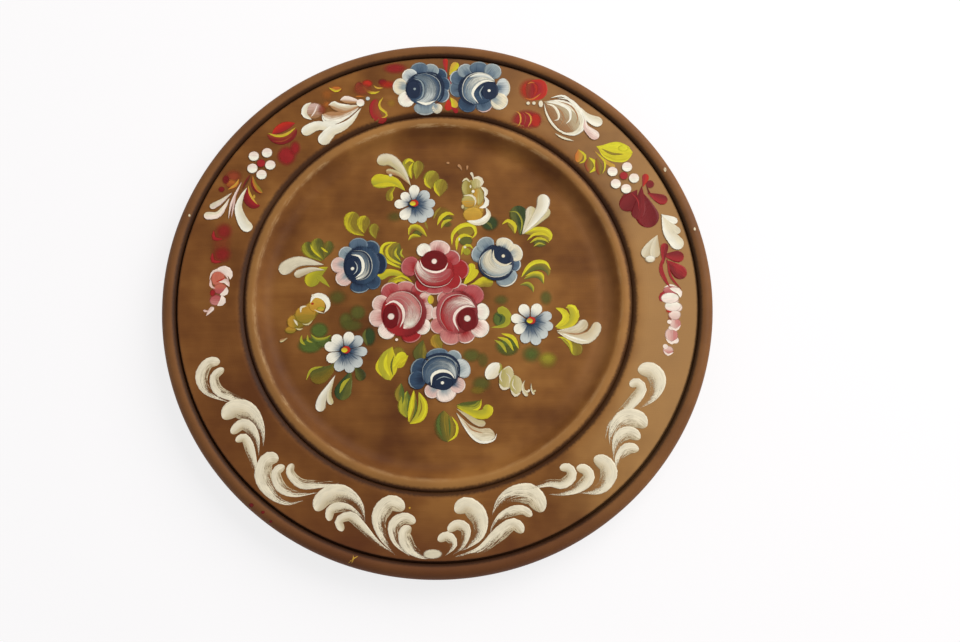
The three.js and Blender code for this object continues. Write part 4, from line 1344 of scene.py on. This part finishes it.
rim_blue_roses = petals(
    (-8, 118), ("navy blue mist", 8.5, 9, 0.8, 126), ("navy blue mist", 8, 9, 3, 120.6), ("navy slate pearl", 8, 9, 2.2, 114),
    ("slate mist pearl", 9, 8, -4, 129), ("blue slate mist", 10.5, 8.5, -10.8, 129.6),
    ("slate mist pearl", 13.5, 8.5, -7.1, 106.8), ("mist ivory ivory", 6, 6, -0.8, 106.4),
    ("slate pearl white", 9.5, 8.5, -16, 125.6), ("mist ivory white", 8.5, 10, -21.4, 119.3),
    ("petal white white", 10.5, 9, -17.8, 111.8),
) + cup(
    (21.5, 21, -8, 118), (9.4, 11, -13.8, 117.4), (-13.2, 117.8, 0.9),
    (-14, 124, -9.8, 122.4, -8.2, 117.6, -9.4, 112.8, -12.8, 110.8),
    (-13, 126, -6.5, 126.8, -0.4, 123.4, 1.2, 117.4, -1.2, 111.2, -6.4, 108.8, -11.4, 109.6), "navy blue",
    "slate blue", "mist pearl", (0.3, 0.95), 1.2, "mist", "navy", turn=0.5,
) + [crescent("white", 2.0, -12, 110.4, -6.6, 108.9, -2, 110.8, soft=0.4),
     crescent("navy", 1.6, -7, 128.2, -0.6, 126.2, 2.6, 120, 1.8, 112.4, -2.4, 108.6, soft=0.4)] + petals(
    (22, 118), ("navy slate mist", 10, 10, 10.6, 117.8), ("blue slate pearl", 9, 9, 10.4, 124.4),
    ("navy blue slate", 11, 9, 15.7, 108.6), ("slate mist pearl", 9.5, 8, 14.8, 128.6),
    ("blue slate mist", 11, 8.5, 22.5, 130), ("slate mist pearl", 10.5, 9.5, 30.2, 128.2),
    ("blue slate blush", 9.5, 8.5, 25.2, 107.8), ("slate pearl ivory", 8.5, 11.5, 35.8, 118.3),
    ("mist ivory white", 10.5, 10, 33.6, 110.2),
) + cup(
    (21.5, 21, 22, 118.2), (10.6, 11, 28.4, 116.6), (28, 116.6, 1.0),
    (22, 109, 18.8, 114.6, 21.4, 119.8, 26.2, 122.4, 31.4, 121.8),
    (19.6, 108.6, 14.2, 112.6, 13.4, 119.2, 16.2, 125, 21.7, 127.4, 27.4, 126.4, 31, 123.6), "navy blue",
    "mist slate", "pearl white", (0.0, 1.0), 1.9, "white", "navy", turn=0.6,
) + [crescent("white pearl", 3.2, 17, 124.6, 21.7, 126, 27, 125.2, 31, 122.8, soft=0.6, streak=0.9),
     crescent("navy", 1.6, 13.4, 125, 11.4, 118.4, 13.8, 111, 19.8, 107.8, soft=0.4),
     crescent("mist", 1.0, 24.2, 111.4, 22.8, 115.4, 25, 119.6, soft=0.5)]

rim_reds_left = [
    wash("amber", 8, 8, -61.5, 114.5, 0.4, 0.9), dab("amber rust", 8, 4.5, -56.5, 117.5, soft=0.5),
    crescent("gold leaf", 1.6, -60.5, 118.5, -56.5, 116.5, -53.5, 118, dry=0.2),
    dab("rust wine", 5.5, 7.5, -44, 119, soft=0.5, streak=0.9), dab("scarlet", 7, 5.5, -39.5, 121, soft=0.6),
    dab("wine", 6, 4.5, -31, 122, soft=0.7), crescent("amber", 1.2, -46, 113.5, -41, 113.5, soft=0.5),
    crescent("gold leaf", 1.8, -42, 119.5, -39, 116.5, -35.5, 115.5, -32.5, 116.5),
    crescent("gold", 1.1, -36, 120, -34, 118.5, -30.5, 118.5), wash("ochre", 6, 6, -26, 109.5, 0.45, 0.9),
    patch("red rust", (-36.5, 112.5, -38.5, 107, -37.5, 101.5, -34, 98, -29.5, 99),
          (-32, 111, -32.5, 106.5, -31, 103, -29, 102, -28, 103), streak=1.0, soft=0.3),
    crescent("gold leaf", 1.6, -30.5, 113, -32.5, 109.5, -32, 106.5, -28.5, 103.5, -29, 101.5, -31.5, 101),
    wash("red", 16, 8, -24, 130, 0.75, 0.7), wash("scarlet", 12, 6, -28, 120.5, 0.7, 0.8),
    wash("rust", 13, 9, -42, 117.5, 0.75, 0.7),
    patch("scarlet red", (-91, 91, -89, 95.5, -84.5, 98.5, -78.5, 98),
          (-91, 90.5, -86, 91.5, -81.5, 94, -78.5, 97), soft=0.3, streak=0.9),
    patch("wine rust", (-93.5, 90, -90, 86, -84.5, 84.5, -79, 88, -77, 93), (-93.5, 91, -88, 91.5, -83, 92, -78, 95),
          soft=0.25, streak=0.9),
    crescent("gold leaf", 1.8, -93, 91.5, -88, 90, -83, 91, -78, 95),
    crescent("rust", 1.2, -90.5, 87, -84.5, 87, -79, 91, soft=0.5),
    dab("red", 12, 13, -82.5, 78.5, soft=0.55, streak=0.9, opacity=(0.85, 0.85)),
    dab("red", 7, 10, -78, 83, soft=0.7, opacity=(0.8, 0.8)),
    wash("rust", 11, 9, -110.5, 66.5, 0.9, 0.8), wash("amber rust", 8, 6.5, -111.5, 62, 0.8, 0.6),
    wash("wine", 4.5, 6, -114.5, 64.5, 0.8, 0.5), dot("wine", 1.9, -116.5, 59, soft=0.5),
    crescent("amber gold", 1.8, -107.5, 65, -109, 61.5, -113, 59),
    patch("wine red", (-103.5, 59, -104.5, 53.5, -103, 50, -99.5, 48, -96, 49),
          (-102, 61, -101, 57, -99.5, 53.5, -97, 51.5, -95.5, 51), streak=0.9, soft=0.2),
    crescent("gold", 1.3, -102.5, 61.5, -101.5, 57, -99.5, 53.5, -97, 50.5), dab("gold", 1.6, 3, -99, 55, soft=0.5),
    patch("amber olive", (-100.5, 67, -100.5, 62, -99, 58.5, -95.5, 56.5),
          (-100, 67, -98, 63, -96, 60.5, -94, 58), soft=0.3),
    crescent("wine", 1.2, -100.5, 66, -100.5, 62, -98.5, 58.5, -95.5, 56.5),
    crescent("umber wine", 1.8, -101.5, 67.5, -103.5, 63.5, -105.5, 59),
    wash("rust", 13, 30, -115, 29, 0.5, 0.9),
    dab("red", 11, 11, -114, 35.5, soft=0.75, opacity=(0.6, 0.6)),
    crescent("red", 3, -114.5, 31, -119, 31.5, -119.5, 36, soft=0.7),
    dab("red", 12, 11, -114.5, 22.5, soft=0.75, opacity=(0.6, 0.6)),
    crescent("red", 3, -114.5, 18.5, -119, 19, -119.5, 23.5, soft=0.7),
]

rim_reds_right = [
    wash("scarlet", 15, 15, 51, 117, 0.85, 0.6),
    patch("rust red", (48.5, 122, 47.5, 117, 48.5, 112), (53, 121.5, 54, 117, 52.5, 112),
          soft=0.5, streak=0.9, opacity=(0.7, 0.9)),
    crescent("scarlet red", 6, 51.5, 122.5, 57, 120.5, 57, 114.5, 51, 111),
    dab("red", 19, 13, 48.5, 99.5, soft=0.5, opacity=(0.85, 0.85)),
    crescent("amber", 0.9, 49.5, 120.5, 51.5, 121.5, 53.5, 121), crescent("amber", 0.9, 47.5, 112, 52, 111.5, 57, 115),
    dab("scarlet", 7, 10, 53.5, 99, soft=0.5, opacity=(0.8, 0.8)), crescent("rust", 1.4, 46, 104, 48, 101, 47, 96, soft=0.6),
    crescent("amber gold", 1.1, 42.5, 104.5, 44.8, 103, 45.3, 98.5, 43.5, 95.5),
    crescent("amber gold", 1.1, 47.5, 104, 50.5, 102, 51, 98.5, 49, 95),
    comma("scarlet red", 3.2, 3.7, 136, 4, 131.5, 4.5, 127, dry=0.2), comma("leaf gold", 5, 10.5, 133.5, 8.5, 130.5, 6, 126),
    dot("scarlet", 1.2, 6.5, 124), dot("scarlet", 1.2, 6, 121.5), crescent("white", 1.1, 6.5, 120, 5, 117, 5.5, 113.5),
    comma("scarlet", 4.6, 5, 105, 5.5, 108.5, 5, 112), comma("leaf gold", 4.2, 9, 106.5, 8.7, 109.5, 6.5, 113),
    comma("red", 3, 10.5, 104, 9, 105.5, 7, 107), comma("ochre gold", 2.6, 96, 71, 90.5, 75, 85, 81),
    patch("leaf sun", (86, 83.5, 90.5, 77.5, 96, 75, 102, 75, 106, 79),
          (86, 83.5, 91, 84.5, 98, 85, 103.5, 84, 106, 80), streak=1.2, soft=0.15),
    crescent("leaf sun", 1.8, 87, 83, 90.5, 77.5, 96, 75, 102, 75, 106, 79), dab("sun", 7, 4.4, 101, 82, soft=0.5),
    crescent("sun", 1.6, 90, 84, 98, 85, 104.5, 82.5), crescent("olive", 1.8, 89, 82, 94.5, 79, 101, 78.5, soft=0.6),
    patch("amber ochre", (76, 82, 74, 78.5, 74, 74.5), (77, 81.5, 79.5, 78.5, 77.5, 74), soft=0.4, streak=0.9),
    crescent("leaf", 1.5, 76.5, 81.5, 79.8, 78.5, 79.5, 75, 76.5, 73.5),
    patch("rust olive", (81, 77, 79, 73, 80.5, 68.5), (82, 76.5, 85, 73, 83, 68.5), soft=0.4, streak=0.9),
    crescent("leaf sun", 2.4, 82, 77, 85.3, 74, 85.3, 70.5, 82, 68),
    patch("rust olive", (85.5, 77, 84.5, 72, 86, 67), (87, 76, 89.5, 71.5, 89, 66.5),
          soft=0.5, streak=0.9, opacity=(0.8, 0.8)),
    crescent("leaf", 1.2, 86.5, 79.5, 90.3, 75, 90.5, 70.5, 89, 67.5),
    dab("wine throat", 11, 12, 103, 51, soft=0.25, streak=0.9), dab("wine", 12, 11, 108.5, 50, soft=0.3),
    comma("wine throat", 9.5, 98.5, 47, 102.5, 51, 107.5, 58, streak=0.7),
    comma("wine throat", 13.5, 113.5, 36.5, 112, 44, 109.5, 57, streak=0.9),
    comma("throat wine", 8, 106, 41.5, 108.5, 49, 110, 60),
    crescent("red", 1.0, 104, 56.5, 107.5, 52, 108, 46, soft=0.5),
    crescent("throat", 1.2, 112.5, 60, 114.5, 55, 118, 52, soft=0.4),
    comma("red wine", 6.4, 123.5, 51.5, 119.5, 52.5, 113, 56), dot("wine", 2.5, 114.5, 61, soft=0.3),
    comma("scarlet red", 4, 112.5, 67, 112, 63.5, 110.5, 59.5),
    comma("wine red", 8.4, 130.5, 8.5, 127, 12, 121, 18), comma("red wine", 7, 130.5, 20, 126.5, 20, 119.5, 21),
    crescent("red", 2.4, 119.5, 20, 118, 13, 120.5, 6, 122.5, 3), crescent("red", 1.4, 121.5, 19, 123, 9, 128, 2),
    comma("wine red", 4.5, 121, 27.5, 120, 22.5, 119.5, 16),
]

rim_whites = [
    dab("blush tan", 11.5, 10.5, -68.5, 104.5, soft=0.25, streak=1.3, opacity=(0.85, 0.75)),
    wash("rust", 6, 8, -64, 105.5, 0.7, 0.8),
    wash("amber", 5, 5, -61.5, 108.5, 0.6, 0.8), crescent("petal", 1.2, -70, 101, -68, 104, -66.5, 108.5, soft=0.5, dry=0.3),
    crescent("white ivory", 3.4, -69.5, 99.5, -73.5, 102.5, -73, 107, -70, 109.5, dry=0.4, streak=1.0),
    patch("white tan", (-64, 102.5, -62, 98.5, -57.5, 97.5, -51.5, 100, -44.5, 106),
          (-64, 103, -60, 104.5, -54, 104.5, -48, 106, -43.5, 107.5), streak=1.1, soft=0.15, bias=0.4),
    patch("tan ivory", (-60.5, 108, -56, 104.5, -50, 103.5, -43.5, 107.5),
          (-60.5, 108.5, -57.5, 110, -52, 108.5, -43.5, 108.5), streak=1.1, soft=0.2),
    patch("tan petal", (-54.5, 110.5, -50, 109, -43.5, 109), (-54, 111.5, -51.5, 113, -44.5, 111.5), streak=1.0, soft=0.2),
    crescent("white", 1.6, -64, 102, -62.5, 98.5, -57.5, 97.5, -51.5, 99.5),
    crescent("white", 1.4, -60.5, 108, -57.5, 110, -54.5, 108.5, -48, 108),
    crescent("petal", 1.3, -54, 111, -51.5, 113, -45, 111.5),
    comma("white ivory", 6.4, -74.5, 91.5, -66.5, 96, -59, 95, -53, 95.5, -47, 100, -42.5, 106.5, dry=0.35, streak=0.9),
    comma("white ivory", 7.4, -64.5, 85.5, -58.5, 93, -54.5, 94.5, -48.5, 98.5, -42.5, 106.5, dry=0.35, streak=0.9),
    dot("petal white", 2.3, -43, 109.5), dot("pearl", 1.3, -39, 112, soft=0.4),
    dot("ivory", 1.1, 49.5, 109, soft=0.3), dot("ivory", 1.1, 52.7, 109, soft=0.3),
    dab("cream", 2.8, 4.4, 56.5, 108.5, soft=0.3),
    patch("tan sand", (58, 110, 59, 104, 61.5, 97.5, 66.5, 92, 72.5, 90),
          (58, 110, 64, 110.5, 71, 109, 77, 103, 78.5, 92), streak=1.2, soft=0.2, opacity=(0.6, 0.8)),
    crescent("ivory white", 5, 67.5, 91, 75, 91, 79.5, 96.5, 76.5, 104, 68, 109.3, 60, 110, dry=0.35, soft=0.4, streak=1.0),
    crescent("white ivory", 1.4, 58.3, 109, 59.3, 103.5, 62, 97.5, 66.5, 92.5, 73, 90, dry=0.2),
    crescent("tan", 1.2, 61, 107, 66.5, 105, 69, 100, 66.5, 95, soft=0.6),
    crescent("ivory", 1.3, 64, 91, 68, 88.5, 74, 86.5, dry=0.3),
    crescent("white", 1.8, 59.5, 109.5, 66, 108.5, 72, 105, 72.5, 99.5, 70, 96.5),
    crescent("white ivory", 1.6, 59.5, 108.5, 63.5, 107, 66, 103, 66, 99.5, 63.5, 98.5),
    crescent("tan", 1.1, 66, 110, 73, 107, 76.5, 101, 75.5, 96, soft=0.6),
    crescent("white", 1.6, 62, 112, 69, 113, 74.5, 108.5, 79, 104, 80.5, 98.5, dry=0.2),
    crescent("white", 1.2, 65.5, 112, 73, 110.5, 78, 105.5, 82.5, 100, dry=0.3),
    comma("white ivory", 6.4, 90, 96.5, 85, 98.5, 81, 101.5, 78.5, 106, dry=0.2),
    comma("blush petal", 6, 87.5, 88, 83.5, 91.5, 81, 94.5, 80.5, 99, dry=0.2),
    comma("white ivory", 6.4, -99.5, 36.5, -103.5, 39.5, -107, 48, -105.5, 55, -103, 60, dry=0.3, streak=0.9),
    comma("ivory petal", 4.6, -125, 44, -118, 44.5, -114.5, 49, -112, 54, dry=0.3),
    comma("ivory petal", 3.6, -122, 48.5, -116.5, 52, -111, 57, dry=0.5, opacity=(0.8, 0.7)),
    crescent("petal blush", 1.4, -112, 42.5, -111, 50, -109, 56, -106, 63, dry=0.3),
    crescent("blush", 1.0, -110.5, 43, -109.5, 51, -108.5, 57, dry=0.3),
    comma("white ivory", 7.8, 129.5, 24.5, 126, 29, 122.5, 34, 120, 43, dry=0.3, streak=1.0),
    comma("ivory", 4.2, 129, 33, 124, 38, 120, 44, dry=0.3), comma("white", 4.2, 128, 39, 123.5, 41.5, 119.5, 43.5, dry=0.2),
    comma("ivory sand", 6.4, 109.5, 19.5, 112.5, 25.5, 117, 32, dry=0.5, streak=1.2, opacity=(0.9, 0.7)),
    comma("ivory sand", 6, 115, 19.5, 115.5, 26, 117, 32, dry=0.5, streak=1.2, opacity=(0.8, 0.9)),
    dab("white ivory", 6, 4.4, 112.5, 18.8, soft=0.4, streak=0.9),
] + ring_of_dots(100.5, 66, (94.5, 68.5), (102.5, 71), (106, 64.5), (101.5, 58.5), (96, 61.5)) \
  + ring_of_dots(-96, 74, (-100, 78), (-93, 80), (-91, 73), (-95.5, 67.5), (-100.5, 71))

rim_pinks = [
    dab("salmon", 8, 9, -116, 9.5, soft=0.25, streak=1.0), dab("salmon rose", 8, 6.5, -114.5, 3.8, soft=0.3, streak=1.0),
    dab("rose pink", 7, 6.5, -116.5, -2.3, soft=0.3, streak=1.0), dab("red", 3.5, 4.5, -118.3, 1.6, soft=0.6),
    crescent("petal", 4.4, -116.5, 15, -112.5, 14.5, -109.7, 11.5, -109.5, 9),
    crescent("blush", 1.5, -119.8, 9, -119.3, 5.3, -117, 4),
    crescent("petal blush", 1.6, -120.3, 8.5, -119, 12.8, -115.5, 14, -112, 11.5, -110.3, 8),
    crescent("blush petal", 2.8, -115.5, 7.6, -112, 8.2, -109.8, 5),
    crescent("scarlet", 1.0, -117, 7.5, -114.5, 8.5, -112, 10, soft=0.5),
    crescent("petal", 3, -111.2, 4.8, -111.7, 1.8, -114.5, 0.5), crescent("petal", 3.6, -113.6, 0.3, -112.8, -3, -115.5, -5.3),
    comma("petal blush", 2.6, -117.5, -6, -119, -8, -121, -10.8), comma("blush", 1.3, -122.5, -7.8, -121, -8.3, -119, -8),
    dab("blush pink", 6, 5.4, 119.3, -31, soft=0.3, streak=1.2), dot("petal", 1.4, 118, -28.8),
    crescent("petal", 1.2, 116.8, -31, 119, -33.2, 122, -32),
    dab("petal", 4, 4, 123.4, -25.5, soft=0.3), dab("blush pink", 7.4, 8, 121.4, -22.6, soft=0.25, streak=1.2),
    crescent("petal", 1.6, 118.3, -24.5, 121.3, -27, 124.8, -24.6), dab("petal", 3.6, 2.8, 121.6, -18.9, soft=0.4),
    dab("rust", 5, 12, 122.3, -13.5, soft=0.6, opacity=(0.7, 0.7)),
    dab("blush pink", 6.4, 6.8, 123.8, -16.6, soft=0.25, streak=1.2),
    crescent("petal", 1.4, 121, -18, 124, -20, 126.6, -17.5), dot("petal", 1.2, 120.8, -15.6),
    dab("petal blush", 6.8, 6.4, 123.8, -11.8, soft=0.25, streak=1.2), dab("scarlet", 4, 3, 121, -9.6, soft=0.7),
    dab("blush petal", 4.4, 5, 126, -7.8, soft=0.3), dab("white petal", 9, 6, 123, -7.2, soft=0.2, streak=0.9),
    crescent("blush", 1.1, 119.5, -5.3, 123, -5, 127, -4.5, soft=0.5),
    comma("red scarlet", 3.6, 117.8, -4.6, 117.8, -1, 121, 1.8),
    dab("pink rose", 9, 5.6, 122.5, 1.4, soft=0.3, streak=1.2),
    crescent("petal white", 3.4, 122, 2.6, 126.8, 0.8, 127.3, -2.6),
    dab("white petal", 10, 6.4, 121.8, -2.8, soft=0.2, streak=0.9),
    crescent("petal", 1.2, 119, 3, 122.5, 4.3, 126, 3.2, soft=0.4),
]

scrolls = [
    scroll(6, -112.5, -35, -118.5, -36, -121.5, -43, -118, -50.5, -106, -56.5),
    scroll(4.8, -110.5, -38.5, -115, -43, -113, -49.5, -107, -53, -97, -57, -90.5, -62.5),
    scroll(9.5, -109.5, -64.5, -104, -59.5, -96, -62, -90.5, -70, -88.5, -79),
    scroll(5.5, -105, -72, -99, -67.5, -93, -73, -90.5, -84),
    scroll(4.5, -102.5, -76, -98, -74.5, -94.5, -82, -91.5, -92, -90, -98),
    scroll(8, -80.5, -85, -86, -85.5, -88, -93, -84, -101, -76, -106.5, -67.5, -106),
    scroll(5, -77.5, -88.5, -81.5, -92, -79, -99, -72, -102.5, -60, -102),
    scroll(4.6, -73.5, -87.5, -74.5, -92, -69, -97.5, -60, -98, -50, -98, -43, -101),
    scroll(8.6, -61, -111, -57, -104.5, -48, -102.5, -40, -108, -36.5, -117),
    scroll(4.6, -54.3, -116, -53.5, -110.5, -46, -109.5, -39, -114, -37, -117),
    scroll(4.6, -47.5, -121, -49.5, -116, -44, -113.8, -39, -118, -30, -127, -21, -133),
    scroll(8, -17, -110.5, -24, -107.5, -29.5, -114, -28, -123, -22, -132),
    scroll(5.6, -11.5, -117, -17.5, -115, -22.5, -119, -21, -126.5, -14, -133.5),
    scroll(6.4, -14, -119, -17, -122.5, -14.5, -129, -8, -133.5, -3, -134),
    wash("ivory", 10, 5, -3, -132.5, 0.9, 0.3),
    scroll(8.6, 8, -112, 14, -109, 20, -115, 20, -123, 14, -129, 10, -131),
    scroll(5, 4.5, -121.5, 9, -118.5, 13.5, -121, 12, -128, 7, -133),
    scroll(4.6, -0.5, -126, 4, -124, 7.5, -128, 3, -133.5),
    scroll(9.5, 52, -112.5, 47, -104.5, 38, -103.5, 31, -107, 26.5, -114),
    scroll(4.6, 46.5, -114.5, 41, -111.5, 32, -114, 27, -119.5, 25.5, -124),
    scroll(6.4, 42, -122.5, 37, -118.5, 29, -124, 20, -131, 8, -134),
    scroll(5, 61, -91, 65.5, -91, 67, -95, 62, -99, 55, -98.5, 42, -102),
    scroll(5.6, 69.5, -91, 74, -92, 75.5, -96, 70, -101, 62, -103.5, 55, -104),
    scroll(8, 78.5, -86, 84.5, -89.5, 85.5, -95, 81, -101.5, 70, -103.5), scroll(8.6, 103, -41, 110, -41.5, 113, -47.5, 110, -55, 103, -61),
    scroll(5.4, 98.5, -49.5, 102, -47.5, 104.5, -51, 100, -57, 93, -63.5, 86.5, -69, 84.5, -77),
    scroll(9.5, 106, -70.5, 101, -66.5, 94, -67, 89, -73, 87, -81),
    scroll(6.4, 102.5, -76.5, 97, -73.5, 91, -77, 88.5, -88), scroll(5.4, 101.5, -82, 96, -81.5, 91, -86, 89.5, -93),
]

wear_marks = [
    dab("chalk", 1.7, 3, 123, 69, soft=0.4, dry=0.4), dab("chalk", 1.4, 2.2, 137, 35, soft=0.4, dry=0.4),
    dab("chalk", 1.2, 1.8, -132.5, 44, soft=0.4, dry=0.3), crescent("gold", 0.7, -44.5, -136.5, -42, -134.5, -39.5, -133),
    crescent("gold", 0.6, -42.8, -136.6, -41.8, -134.4, -42, -132.6), dot("gold", 0.5, -14.5, -110),
    dab("wine", 3, 2.4, -93, -108, soft=0.5), dab("wine", 2.4, 1.8, -87, -111.5, soft=0.5),
    dab("wine", 2, 1.6, -83, -116, soft=0.5),
]

PIECES = (
    ("wear_marks", "cream_paint", 0, wear_marks),
    ("leaves_top", "green_paint", 0, leaves_top), ("leaves_left", "green_paint", 0, leaves_left),
    ("leaves_bottom", "green_paint", 0, leaves_bottom), ("leaves_right", "green_paint", 0, leaves_right),
    ("white_feathers", "white_paint", 50, feathers), ("yellow_blossoms", "yellow_paint", 50, blossoms),
    ("daisies", "white_paint", 50, daisies), ("blue_roses", "blue_paint", 50, blue_roses),
    ("rose_left", "red_paint", 50, rose_left), ("rose_right", "red_paint", 60, rose_right),
    ("rose_top", "red_paint", 90, rose_top), ("rim_blue_roses", "blue_paint", 12, rim_blue_roses),
    ("rim_reds_left", "red_paint", 0, rim_reds_left), ("rim_reds_right", "red_paint", 0, rim_reds_right),
    ("rim_whites", "white_paint", 60, rim_whites), ("rim_pinks", "red_paint", 0, rim_pinks),
    ("cream_scrolls", "cream_paint", 0, scrolls),
)

for name, slot, level, strokes in PIECES:
    if slot not in bpy.data.materials:
        paint_material(slot)
    painted(name, slot, level, strokes, bpy.data.materials[slot])
